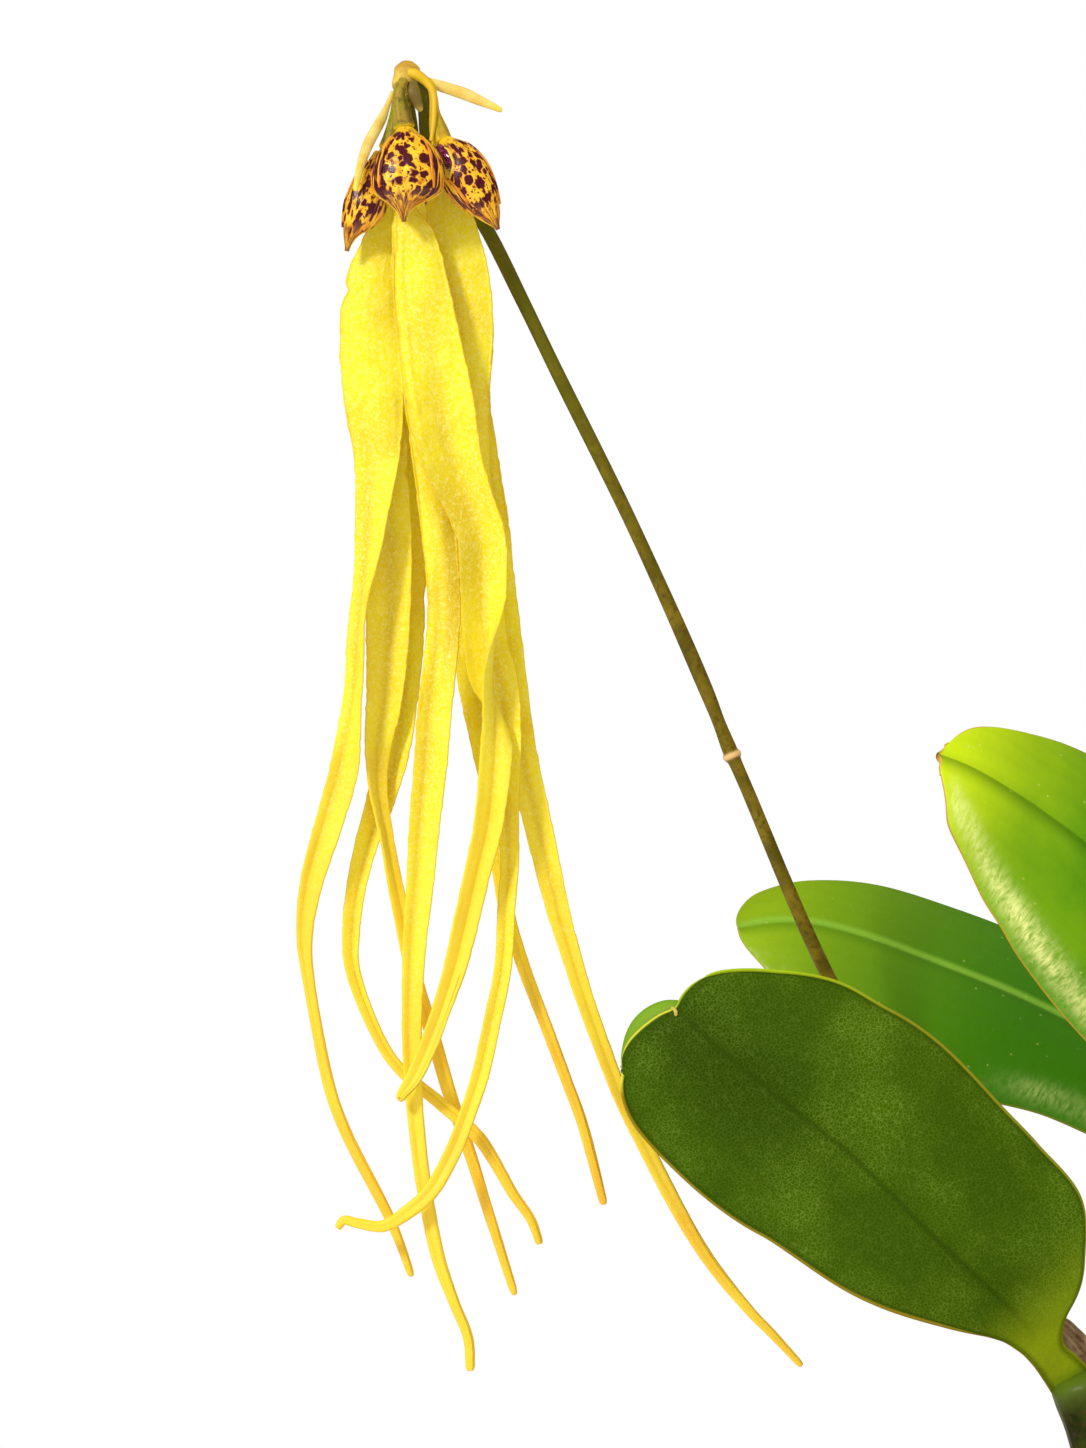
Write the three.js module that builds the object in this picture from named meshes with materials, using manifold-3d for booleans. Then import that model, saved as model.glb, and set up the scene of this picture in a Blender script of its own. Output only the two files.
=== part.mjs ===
// A bulbophyllum orchid in flower, standing in a plain clay pot of bark.
// Millimetres, +Z up. The origin is the centre of the pot's underside; the flowers hang to -X,
// and the plant is seen from -Y.
import * as THREE from 'three';
import { mergeVertices } from 'three/addons/utils/BufferGeometryUtils.js';
import Module from 'manifold-3d';

const wasm = await Module();
wasm.setup();

// ---------------------------------------------------------------- driving dimensions

const GAP = 0.3; // clearance between neighbouring pieces
const CUT = 0.34; // how much larger a neighbour is taken when it is cut away

const POT = {
  height: 85,
  rimRadius: 55,
  rimDepth: 14, // height of the thicker band under the rim
  rimStep: 3,
  footRadius: 38,
  wall: 5,
  floor: 6,
  sides: 40,
  holes: 4,
  holeRadius: 5,
  holeCircle: 20,
};

const BARK = {
  top: 79, // mean height of the bark's surface
  crown: 1.5, // how far it rises towards the middle
  relief: 2.2, // how far the chips stand up
  chip: 9, // typical size of a chip
  rings: 11,
  sides: 40,
};

const BLADE = 0.7; // thickness of sepals, petals and bracts
const LEAF_THICKNESS = 1.2;

// Each lateral sepal: [x, y, z, width, turn] down its midline. Turn is in degrees about the
// midline, 0 with the face towards -Y, and a negative turn brings its right edge forward.
const SEPALS = {
  1: [
    [
      [-134.8, -0.4, 316.4, 2.6, 0],
      [-134.5, -0.8, 311.3, 3.2, 0],
      [-135.3, -1.5, 304.5, 5.0, 0],
      [-136.6, -2.0, 297.3, 8.4, 0],
      [-136.8, -2.0, 287.8, 10.4, 0],
      [-136.1, -2.0, 277.0, 10.2, 0],
      [-135.6, -1.8, 267.0, 8.0, -10],
      [-136.6, -1.2, 253.9, 6.4, -35],
      [-138.5, -0.5, 240.2, 5.6, -55],
      [-139.4, 0.0, 227.8, 5.2, -45],
      [-140.4, 0.3, 219.0, 5.0, -20],
      [-141.6, 0.5, 212.8, 5.0, 0],
      [-144.2, 0.5, 204.0, 4.7, 0],
      [-146.9, 0.5, 194.5, 3.8, 0],
      [-148.0, 0.5, 186.1, 2.7, 0],
      [-147.2, 0.5, 178.0, 1.9, 0],
      [-144.4, 0.8, 162.8, 1.8, 0],
      [-140.8, 1.0, 152.1, 1.7, 0],
      [-133.8, 1.5, 138.4, 1.5, 0],
      [-129.8, 1.5, 127.9, 1.0, 0],
    ],
    [
      [-134.6, -0.2, 316.4, 2.6, 0],
      [-134.0, -0.5, 311.3, 3.2, 0],
      [-134.7, -0.4, 304.4, 5.2, -20],
      [-135.2, 0.7, 295.9, 8.2, -38],
      [-135.0, 0.9, 277.2, 9.4, -38],
      [-134.3, 1.0, 268.7, 9.2, -30],
      [-134.0, 1.8, 259.3, 8.6, -15],
      [-133.7, 2.0, 248.3, 7.9, 0],
      [-133.9, 2.2, 236.3, 7.3, 0],
      [-134.6, 2.3, 226.1, 6.2, 10],
      [-135.7, 2.4, 218.6, 5.2, 25],
      [-135.7, 2.5, 210.8, 3.8, 38],
      [-134.1, 2.5, 201.9, 3.0, 40],
      [-132.3, 2.5, 192.9, 2.8, 20],
      [-129.4, 2.8, 179.2, 2.6, 0],
      [-126.0, 3.4, 167.9, 2.3, 0],
      [-122.8, 4.2, 157.1, 2.1, 0],
      [-119.1, 4.2, 146.2, 1.8, 0],
      [-115.8, 4.0, 135.6, 1.5, 0],
      [-112.2, 4.0, 124.5, 1.0, 0],
    ],
  ],
  2: [
    [
      [-131.2, -4.0, 318.8, 2.6, 0],
      [-131.4, -4.8, 309.3, 3.0, 0],
      [-130.8, -5.0, 302.2, 4.6, 20],
      [-129.6, -4.2, 292.1, 6.8, 28],
      [-127.6, -4.0, 276.9, 7.4, 24],
      [-125.9, -3.2, 262.5, 6.6, 14],
      [-124.8, -2.6, 251.5, 5.8, 6],
      [-124.2, -2.2, 241.7, 5.6, 0],
      [-124.8, -2.0, 233.4, 5.7, 0],
      [-125.8, -2.0, 224.2, 5.8, 0],
      [-126.4, -2.0, 216.4, 5.7, 0],
      [-127.4, -2.0, 206.2, 5.3, 0],
      [-128.4, -1.8, 193.9, 4.6, 0],
      [-129.3, -1.6, 183.5, 3.9, 0],
      [-129.7, -1.2, 170.7, 3.3, 0],
      [-129.4, -1.0, 159.5, 2.9, 0],
      [-128.7, -1.0, 151.5, 2.6, 0],
      [-127.4, -1.0, 142.0, 2.4, 0],
      [-125.4, -1.0, 132.0, 2.1, 0],
      [-122.6, -1.0, 124.0, 1.6, 0],
      [-120.2, -1.0, 117.8, 1.5, 0],
      [-119.8, -1.0, 112.2, 1.3, 0],
    ],
    [
      [-131.0, -4.2, 318.8, 2.6, 0],
      [-130.6, -5.4, 309.3, 3.4, 0],
      [-128.9, -6.2, 303.7, 6.8, 0],
      [-128.0, -6.2, 296.5, 9.0, 0],
      [-126.6, -6.0, 286.9, 10.4, 0],
      [-124.9, -5.6, 276.8, 11.4, 0],
      [-122.8, -5.4, 266.8, 10.2, 0],
      [-119.8, -5.2, 259.0, 8.4, 0],
      [-117.9, -5.2, 253.1, 8.0, 5],
      [-117.6, -5.2, 244.7, 8.0, 10],
      [-117.4, -5.2, 237.6, 7.4, 0],
      [-116.6, -5.0, 230.8, 6.4, -50],
      [-115.2, -4.8, 223.4, 5.6, -110],
      [-115.6, -4.6, 215.1, 5.2, -160],
      [-116.6, -4.4, 205.3, 4.9, -180],
      [-118.4, -4.2, 197.5, 4.4, -180],
      [-120.6, -4.0, 187.8, 4.2, -180],
      [-122.3, -4.0, 180.9, 3.8, -180],
      [-124.5, -4.0, 174.1, 3.2, -180],
      [-126.6, -4.0, 168.2, 3.0, -180],
      [-129.1, -4.0, 162.6, 2.6, -180],
      [-131.0, -4.0, 159.9, 1.8, -180],
      [-131.8, -4.0, 158.6, 1.1, -180],
    ],
  ],
  3: [
    [
      [-124.4, -0.8, 318.4, 2.6, 0],
      [-123.6, -0.9, 309.4, 7.4, 0],
      [-122.2, -1.4, 303.6, 8.4, 0],
      [-120.9, -1.6, 297.3, 8.8, 0],
      [-120.2, -1.4, 288.9, 8.6, 0],
      [-120.5, -1.2, 277.0, 8.0, 0],
      [-119.8, -1.0, 263.4, 7.2, 0],
      [-117.8, -1.0, 249.9, 6.6, 0],
      [-116.4, -1.0, 236.3, 6.0, 0],
      [-114.4, -1.0, 228.8, 5.6, 0],
      [-113.7, -1.0, 219.3, 5.2, 0],
      [-113.6, -1.0, 209.1, 4.2, 0],
      [-113.1, -1.0, 198.9, 3.1, 0],
      [-113.6, -1.2, 191.5, 3.0, 0],
      [-114.2, -1.6, 181.1, 2.9, 0],
      [-115.9, -2.0, 172.2, 2.9, 0],
      [-117.9, -2.6, 163.2, 2.9, 0],
      [-120.1, -3.0, 156.3, 2.7, 0],
      [-122.5, -3.4, 149.9, 2.7, 0],
      [-126.2, -4.0, 143.3, 2.6, 0],
      [-130.1, -4.0, 139.6, 2.3, 0],
      [-134.5, -3.8, 137.0, 1.8, 0],
      [-138.9, -3.6, 137.5, 1.5, 0],
      [-141.1, -3.4, 138.0, 1.3, 0],
      [-142.2, -3.4, 136.7, 1.0, 0],
    ],
    [
      [-124.2, -0.6, 318.4, 2.6, 0],
      [-122.6, -0.2, 309.4, 3.8, 0],
      [-120.9, 0.6, 303.8, 6.4, -22],
      [-119.5, 1.4, 297.6, 8.0, -38],
      [-119.2, 1.6, 289.1, 8.6, -38],
      [-119.5, 1.8, 277.2, 8.2, -36],
      [-118.5, 2.0, 268.2, 7.4, -24],
      [-116.6, 2.4, 256.8, 6.8, -10],
      [-115.6, 2.6, 248.3, 6.3, 0],
      [-113.9, 2.8, 236.3, 5.8, 0],
      [-111.5, 2.8, 219.3, 5.3, 0],
      [-108.8, 2.8, 207.0, 4.9, 0],
      [-106.9, 2.8, 198.8, 4.5, 0],
      [-104.7, 2.8, 189.6, 3.9, 0],
      [-102.8, 2.8, 183.1, 3.4, 0],
      [-100.1, 2.8, 174.6, 3.0, 0],
      [-95.4, 2.8, 161.7, 2.7, 0],
      [-91.3, 2.8, 153.1, 2.6, 0],
      [-85.6, 2.8, 142.6, 2.3, 0],
      [-79.0, 2.8, 131.5, 1.7, 0],
      [-72.5, 2.8, 122.8, 1.4, 0],
      [-68.4, 2.8, 118.0, 1.3, 0],
      [-63.3, 2.8, 112.5, 0.9, 0],
    ],
  ],
  4: [
    [
      [-130.3, 6.6, 318.0, 2.6, 0],
      [-130.8, 7.4, 311.6, 3.2, 0],
      [-132.3, 7.6, 304.0, 5.4, 0],
      [-133.0, 7.4, 289.6, 8.0, 0],
      [-132.1, 7.0, 273.2, 8.4, 0],
      [-131.4, 6.6, 260.4, 7.8, 0],
      [-131.1, 6.4, 248.4, 7.2, 0],
      [-131.4, 6.0, 235.7, 7.0, 0],
      [-132.1, 5.6, 226.1, 6.4, 0],
      [-133.1, 5.4, 217.6, 5.8, 0],
      [-135.1, 5.2, 209.4, 4.9, 0],
      [-137.7, 5.0, 201.3, 3.9, 0],
      [-139.4, 4.6, 193.7, 3.3, 0],
      [-140.2, 4.2, 186.8, 3.0, 0],
      [-139.9, 3.8, 180.0, 2.4, 0],
      [-136.4, 3.0, 170.5, 2.0, 0],
      [-132.3, 2.2, 163.7, 1.9, 0],
      [-125.0, 1.6, 157.5, 2.1, 0],
      [-119.0, 1.4, 152.2, 2.1, 0],
      [-116.0, 1.6, 148.1, 1.8, 0],
      [-112.6, 2.0, 142.1, 1.5, 0],
      [-109.5, 2.2, 137.5, 1.3, 0],
      [-108.0, 2.2, 133.4, 1.0, 0],
    ],
    [
      [-130.1, 6.6, 318.0, 2.6, 0],
      [-129.6, 7.4, 311.6, 3.2, 0],
      [-127.2, 7.7, 304.0, 5.4, 0],
      [-125.4, 7.7, 289.6, 8.0, 0],
      [-122.8, 7.6, 272.4, 8.4, 0],
      [-120.6, 7.4, 255.3, 7.8, 0],
      [-119.3, 7.0, 238.1, 6.4, 0],
      [-119.1, 6.8, 229.6, 6.0, 0],
      [-117.4, 6.4, 219.6, 5.2, 0],
      [-116.2, 6.0, 211.6, 4.2, 0],
      [-114.8, 5.0, 197.9, 2.9, 0],
      [-113.4, 4.6, 188.9, 2.5, 0],
      [-111.2, 4.6, 181.9, 2.2, 0],
      [-108.9, 4.6, 175.6, 2.1, 0],
      [-105.6, 4.6, 166.9, 1.9, 0],
      [-103.3, 4.6, 160.9, 1.7, 0],
      [-101.0, 4.6, 154.6, 1.6, 0],
      [-98.9, 4.6, 147.2, 1.4, 0],
      [-97.0, 4.6, 139.9, 1.1, 0],
    ],
  ],
};
const SEPAL_CAMBER = 0.1; // how far a sepal's middle stands out, as a share of its width

// Each flower: the pedicel and ovary as [x, y, z, radius]; the hood's foot and tip, the side it
// bulges to, its half-widths to the left and the right of its axis at even steps from foot to
// tip, the angles between which its sheet wraps round that axis, in degrees from the bulge, and
// how far each margin draws back near the foot, where the mouth shows;
// the lip and column as [x, y, z, radius].
const FLOWERS = {
  1: {
    ovary: [
      [-131.8, -1.2, 331.0, 0.8],
      [-132.1, -1.6, 328.1, 0.9],
      [-132.4, -1.6, 324.7, 1.2],
      [-133.0, -1.8, 321.4, 1.5],
      [-134.0, -2.4, 319.0, 1.5],
    ],
    foot: [-134.9, -3.8, 318.8],
    tip: [-140.6, -5.6, 301.9],
    bulge: [0, -0.97, 0.2],
    left: [1.2, 1.6, 2.4, 2.7, 2.8, 2.3, 1.5, 0.4],
    right: [1.2, 2.4, 3.4, 4.0, 4.2, 3.2, 1.1, 0.4],
    wrap: [-115, 75],
    open: [0, 60],
    lip: [
      [-136.0, -2.4, 317.0, 0.8],
      [-135.6, -3.2, 315.2, 1.1],
      [-135.2, -3.4, 313.0, 0.8],
    ],
  },
  2: {
    ovary: [
      [-131.0, -3.2, 331.2, 0.8],
      [-131.7, -4.4, 328.6, 0.9],
      [-131.4, -5.0, 325.6, 1.4],
      [-130.8, -5.2, 322.4, 1.8],
    ],
    foot: [-130.6, -6.8, 322.6],
    tip: [-130.8, -11.4, 306.3],
    bulge: [0, -0.95, 0.3],
    left: [1.4, 2.7, 4.2, 4.9, 5.0, 4.6, 2.2, 0.4],
    right: [1.4, 3.4, 5.4, 6.4, 6.6, 6.0, 2.2, 0.4],
    wrap: [-80, 80],
    open: [0, 0],
    lip: [
      [-130.6, -6.6, 319.2, 1.0],
      [-130.4, -6.8, 315.4, 1.5],
      [-130.1, -6.8, 309.6, 0.7],
    ],
  },
  3: {
    ovary: [
      [-128.2, -1.4, 331.8, 0.6],
      [-126.6, -1.8, 330.6, 0.7],
      [-126.0, -2.0, 328.2, 0.7],
      [-125.8, -2.0, 325.6, 0.9],
      [-125.1, -2.2, 322.6, 1.5],
      [-124.4, -2.6, 320.2, 1.7],
    ],
    foot: [-124.1, -4.2, 321.1],
    tip: [-115.0, -6.0, 305.5],
    bulge: [0, -0.97, 0.2],
    left: [1.2, 2.8, 4.2, 4.7, 4.4, 3.4, 1.9, 0.4],
    right: [1.0, 2.7, 3.6, 3.9, 3.6, 2.9, 1.9, 0.4],
    wrap: [-75, 115],
    open: [64, 0],
    lip: [
      [-124.0, -4.2, 319.2, 0.7],
      [-123.0, -5.4, 318.2, 1.4],
      [-121.8, -6.0, 316.4, 1.3],
      [-121.0, -5.6, 315.0, 0.8],
    ],
  },
  4: {
    ovary: [
      [-130.4, 2.4, 331.4, 0.8],
      [-130.4, 4.2, 328.6, 0.9],
      [-130.2, 5.6, 324.0, 1.3],
      [-130.2, 6.6, 319.0, 1.6],
    ],
    foot: [-130.2, 8.4, 319.8],
    tip: [-131.0, 13.4, 306.6],
    bulge: [0.06, 0.95, 0.3],
    left: [1.3, 2.9, 4.4, 5.2, 5.3, 4.4, 1.9, 0.4],
    right: [1.3, 2.9, 4.4, 5.2, 5.3, 4.4, 1.9, 0.4],
    wrap: [-80, 80],
    open: [0, 0],
    lip: [
      [-130.2, 8.2, 317.0, 0.9],
      [-130.3, 8.6, 314.0, 1.4],
      [-130.3, 8.8, 310.4, 0.7],
    ],
  },
};
// The two small petals lie along a hood's margins: where they begin and end along it, as a share
// of its length, how many degrees wide they are, and how far they stand off its sheet. Beside an
// open mouth a petal begins further down.
const HOOD_LENGTH = 16;
const PETALS = { from: 0.12, fromMouth: 0.36, to: 0.76, wide: 36, proud: 0.45 };

const SCAPE = [
  // [x, y, z, radius]
  [-129.2, 0.2, 331.6, 1.2],
  [-127.9, 1.6, 329.4, 1.2],
  [-127.6, 3.0, 326.0, 1.15],
  [-127.2, 4.2, 321.6, 1.15],
  [-125.4, 5.4, 317.0, 1.2],
  [-122.2, 6.0, 312.6, 1.2],
  [-117.4, 6.4, 307.2, 1.2],
  [-110.8, 6.6, 294.2, 1.18],
  [-104.6, 6.4, 281.4, 1.16],
  [-93.8, 5.8, 259.6, 1.15],
  [-85.6, 5.4, 241.8, 1.2],
  [-79.7, 5.2, 228.2, 1.25],
  [-77.2, 5.2, 221.9, 1.1],
  [-75.1, 5.1, 216.6, 1.3],
  [-72.8, 5.0, 211.4, 1.1],
  [-58.9, 4.4, 179.2, 1.2],
  [-40.4, 3.0, 146.0, 1.3],
  [-22.2, 0.8, 116.4, 1.35],
  [-15.6, 1.8, 99.0, 1.45],
  [-12.0, 3.0, 80.6, 1.6],
];
const NODE_RING = { at: [-75.1, 5.1, 216.6], radius: 1.5, height: 1.0 };

const KNOB = { at: [-130.6, 0, 332.5], radius: 2.3 };

// [x, y, z, width, turn] along the midline of each floral bract
const BRACTS = {
  bract_right: [
    [-127.6, 0.9, 331.6, 1.1, 0],
    [-125.6, 0.9, 330.8, 1.7, 0],
    [-123.4, 0.9, 330.1, 2.2, 0],
    [-121.0, 0.8, 329.3, 2.3, 0],
    [-118.5, 0.6, 328.2, 1.9, 0],
    [-116.1, 0.4, 327.1, 1.2, 0],
    [-114.4, 0.2, 326.3, 0.7, 0],
  ],
  bract_left: [
    [-132.9, -0.2, 329.6, 0.9, 0],
    [-134.0, -1.0, 326.6, 1.6, 0],
    [-134.9, -2.2, 324.4, 2.0, 0],
    [-136.7, -5.2, 320.6, 1.9, 0],
    [-137.6, -7.2, 318.0, 1.7, 0],
    [-138.4, -8.8, 315.0, 1.2, 0],
    [-139.0, -9.6, 311.6, 0.7, 0],
  ],
  bract_front: [
    [-129.6, -2.8, 330.9, 1.5, 0],
    [-129.3, -3.6, 329.0, 2.1, 0],
    [-128.6, -3.6, 327.0, 1.5, 0],
    [-128.1, -3.4, 325.8, 0.8, 0],
  ],
  bract_rear: [
    [-131.0, 2.2, 333.2, 1.4, 0],
    [-131.4, 6.0, 332.6, 2.1, 0],
    [-131.8, 11.0, 329.4, 0.8, 0],
  ],
};

// Each leaf: midrib rows [x, y, z, half width on the lower side, half width on the upper side,
// how far the face looks up, in degrees], from the petiole's foot to the tip.
const LEAVES = {
  1: {
    rows: [
      [-18.6, -9.4, 111.4, 3.9, 3.9, -10],
      [-20.6, -10.8, 113.8, 3.5, 3.6, -10],
      [-23.0, -12.4, 116.6, 3.2, 3.4, -10],
      [-25.0, -13.6, 119.4, 4.0, 6.2, -10],
      [-27.6, -14.8, 122.8, 6.0, 13.4, -10],
      [-32.4, -16.4, 127.6, 10.0, 20.8, -10],
      [-40.4, -18.0, 135.0, 15.4, 24.0, -8],
      [-46.8, -18.6, 141.2, 18.4, 24.6, -8],
      [-56.8, -19.0, 151.0, 20.8, 24.4, -6],
      [-64.8, -18.8, 157.2, 21.6, 22.8, -4],
      [-71.8, -18.2, 162.8, 21.4, 20.0, -2],
      [-79.2, -17.0, 168.9, 19.8, 14.8, 0],
      [-85.3, -15.4, 172.7, 17.0, 6.8, 0],
    ],
    arch: 62,
    groove: -0.5, // the midrib stands out as a low keel on this side
    lobes: [5.2, 0.8], // how far the tip's lower and upper lobes pass its notch
    mucro: 1.2,
  },
  2: {
    rows: [
      [20.4, 30.0, 112.4, 2.9, 2.9, 60],
      [22.0, 30.2, 120.0, 2.4, 2.4, 60],
      [21.6, 30.6, 130.0, 2.8, 2.8, 55],
      [19.0, 31.4, 140.0, 6.0, 6.0, 50],
      [14.6, 32.2, 148.8, 12.0, 11.0, 46],
      [4.0, 33.6, 158.6, 18.4, 15.6, 46],
      [-10.8, 35.2, 167.8, 21.6, 18.0, 47],
      [-24.0, 36.4, 174.4, 22.6, 18.6, 48],
      [-38.0, 37.6, 180.0, 21.8, 17.8, 48],
      [-50.0, 38.6, 184.4, 19.4, 16.0, 47],
      [-60.0, 39.2, 186.9, 15.8, 11.9, 46],
      [-67.6, 39.6, 187.0, 12.0, 8.0, 44],
      [-73.6, 39.8, 185.8, 6.4, 3.0, 42],
    ],
    arch: 56,
    groove: 0.7,
    lobes: [0.4, 0.4],
    mucro: 0.6,
  },
  3: {
    rows: [
      [27.4, 1.6, 112.4, 2.9, 2.9, 20],
      [29.6, 1.8, 120.0, 2.4, 2.4, 20],
      [30.6, 2.0, 130.0, 2.8, 2.8, 22],
      [29.6, 2.0, 139.6, 6.6, 6.0, 24],
      [27.0, 1.8, 148.0, 13.0, 11.0, 26],
      [20.2, 1.4, 161.4, 19.6, 17.4, 28],
      [10.8, 0.8, 174.4, 23.4, 21.0, 30],
      [-0.6, 0.2, 186.8, 24.8, 22.4, 30],
      [-12.6, -0.4, 199.8, 24.2, 20.6, 32],
      [-21.8, -0.8, 207.0, 21.4, 17.4, 32],
      [-29.4, -1.0, 212.0, 16.6, 12.8, 32],
      [-35.2, -1.2, 215.2, 10.4, 8.6, 32],
      [-39.2, -1.4, 216.6, 4.0, 3.4, 32],
    ],
    arch: 44,
    groove: 0.9,
    lobes: [0.6, 0.6],
    mucro: 1.4,
  },
};

// Pseudobulbs: foot, top and greatest radius
const BULBS = {
  pseudobulb_1: { foot: [-5.0, -5.0, 80.6], top: [-17.6, -9.0, 113.0], radius: 7.2, outline: 'blunt' },
  pseudobulb_2: { foot: [22.0, 29.0, 80.6], top: [20.2, 30.0, 113.2], radius: 8.0, outline: 'ovoid' },
  pseudobulb_3: { foot: [25.0, -2.0, 80.6], top: [27.2, 1.4, 113.2], radius: 8.4, outline: 'ovoid' },
};
// Radius at even steps from foot to top, as a share of the greatest
const BULB_OUTLINES = {
  blunt: [0.55, 0.84, 1.0, 1.0, 0.94, 0.86, 0.8, 0.78, 0.72],
  ovoid: [0.55, 0.86, 1.0, 1.0, 0.92, 0.79, 0.63, 0.48, 0.38],
};
const BULB_RIBS = { count: 5, depth: 0.06 };
// The old pseudobulb, shrivelled, with the dry stub of its leaf stalk
const OLD_BULB = [
  [6.0, 12.0, 80.6, 4.2],
  [3.4, 11.4, 85.6, 6.6],
  [-1.4, 10.4, 93.0, 7.0],
  [-6.8, 9.2, 101.0, 5.4],
  [-11.2, 8.0, 108.0, 3.2],
  [-15.2, 6.6, 114.0, 2.5],
  [-18.4, 5.6, 118.0, 2.1],
  [-20.2, 5.2, 120.2, 1.2],
];

// The rhizome creeps over the bark: [x, y, z, radius]
const RHIZOMES = [
  [
    [-26.0, 6.0, 80.4, 1.6],
    [-15.0, 1.6, 79.8, 2.4],
    [-5.0, -4.0, 79.4, 2.6],
    [4.0, 6.0, 79.4, 2.6],
    [12.0, 20.0, 79.4, 2.6],
    [24.0, 30.0, 79.4, 2.6],
    [33.0, 30.0, 79.0, 1.8],
  ],
  [
    [4.0, 6.0, 79.4, 2.4],
    [14.0, 1.0, 79.4, 2.4],
    [26.0, -2.0, 79.4, 2.6],
    [36.0, -6.0, 79.2, 1.8],
  ],
];
const ROOTS = [
  [
    [-20.0, 3.0, 80.0, 0.8],
    [-26.0, -5.0, 83.6, 0.8],
    [-32.0, -12.0, 80.6, 0.8],
    [-34.0, -15.0, 74.0, 0.7],
  ],
  [
    [14.0, 1.0, 80.0, 0.8],
    [16.0, -12.0, 83.8, 0.8],
    [12.0, -24.0, 81.0, 0.8],
    [10.0, -28.0, 74.0, 0.7],
  ],
  [
    [12.0, 20.0, 80.0, 0.8],
    [2.0, 30.0, 83.8, 0.8],
    [-6.0, 37.0, 80.4, 0.8],
    [-9.0, 39.0, 74.0, 0.7],
  ],
];

// ---------------------------------------------------------------- curves

// Catmull-Rom blend of every column of the rows, at t from 0 to 1 along them
function rowAt(rows, t) {
  const last = rows.length - 1;
  const span = Math.min(Math.floor(t * last), last - 1);
  const f = t * last - span;
  const before = rows[Math.max(span - 1, 0)];
  const from = rows[span];
  const to = rows[span + 1];
  const after = rows[Math.min(span + 2, last)];
  return from.map((value, i) => {
    const slopeIn = (to[i] - before[i]) / 2;
    const slopeOut = (after[i] - value) / 2;
    const rise = to[i] - value;
    const cubic = slopeIn + slopeOut - 2 * rise;
    const square = 3 * rise - 2 * slopeIn - slopeOut;
    return ((cubic * f + square) * f + slopeIn) * f + value;
  });
}

function pointAt(rows, t) {
  const [x, y, z] = rowAt(rows, t);
  return new THREE.Vector3(x, y, z);
}

function tangentAt(rows, t) {
  const step = 0.25 / (rows.length - 1);
  const ahead = pointAt(rows, Math.min(t + step, 1));
  return ahead.sub(pointAt(rows, Math.max(t - step, 0))).normalize();
}

// Parameters along the rows, a number of steps to each span
function steps(rows, perSpan) {
  const count = Math.round((rows.length - 1) * perSpan);
  return Array.from({ length: count + 1 }, (_, i) => i / count);
}

const VIEW = new THREE.Vector3(0, -1, 0);

// Frame on a midline: t along it, n its face (towards -Y at turn 0) and a to the right
function bladeFrame(rows, t, turn) {
  const along = tangentAt(rows, t);
  const face = VIEW.clone().addScaledVector(along, -VIEW.dot(along)).normalize();
  const across = new THREE.Vector3().crossVectors(face, along);
  const angle = THREE.MathUtils.degToRad(turn);
  const a = across.clone().multiplyScalar(Math.cos(angle)).addScaledVector(face, -Math.sin(angle));
  const n = face.clone().multiplyScalar(Math.cos(angle)).addScaledVector(across, Math.sin(angle));
  return { along, a, n };
}

// ---------------------------------------------------------------- closed solids

function solidOf(points, triangles) {
  const vertices = new Float32Array(points.flatMap((p) => [p.x, p.y, p.z]));
  const geometry = new THREE.BufferGeometry();
  geometry.setAttribute('position', new THREE.BufferAttribute(vertices, 3));
  geometry.setIndex(triangles);
  const merged = mergeVertices(geometry, 1e-4);
  const index = Uint32Array.from(merged.index.array);
  const position = Float32Array.from(merged.attributes.position.array);
  let volume = 0;
  const corner = (k) => new THREE.Vector3().fromArray(position, 3 * index[k]);
  for (let i = 0; i < index.length; i += 3) {
    volume += corner(i).dot(corner(i + 1).cross(corner(i + 2)));
  }
  if (volume < 0) {
    for (let i = 0; i < index.length; i += 3) {
      [index[i], index[i + 1]] = [index[i + 1], index[i]];
    }
  }
  return new wasm.Manifold(
    new wasm.Mesh({ numProp: 3, vertProperties: position, triVerts: index }),
  );
}

// A sheet with two faces: front[i][j] and back[i][j], closed along its four edges
function slab(front, back) {
  const rows = front.length;
  const columns = front[0].length;
  const points = [...front.flat(), ...back.flat()];
  const triangles = [];
  const f = (i, j) => i * columns + j;
  const b = (i, j) => rows * columns + i * columns + j;
  const quad = (p, q, r, s) => triangles.push(p, q, r, p, r, s);
  for (let i = 0; i < rows - 1; i += 1) {
    for (let j = 0; j < columns - 1; j += 1) {
      triangles.push(f(i, j), f(i + 1, j), f(i + 1, j + 1), f(i, j), f(i + 1, j + 1), f(i, j + 1));
      triangles.push(b(i, j), b(i + 1, j + 1), b(i + 1, j), b(i, j), b(i, j + 1), b(i + 1, j + 1));
    }
    quad(f(i, 0), b(i, 0), b(i + 1, 0), f(i + 1, 0));
    quad(f(i + 1, columns - 1), b(i + 1, columns - 1), b(i, columns - 1), f(i, columns - 1));
  }
  for (let j = 0; j < columns - 1; j += 1) {
    quad(f(0, j + 1), b(0, j + 1), b(0, j), f(0, j));
    quad(f(rows - 1, j), b(rows - 1, j), b(rows - 1, j + 1), f(rows - 1, j + 1));
  }
  return solidOf(points, triangles);
}

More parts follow.
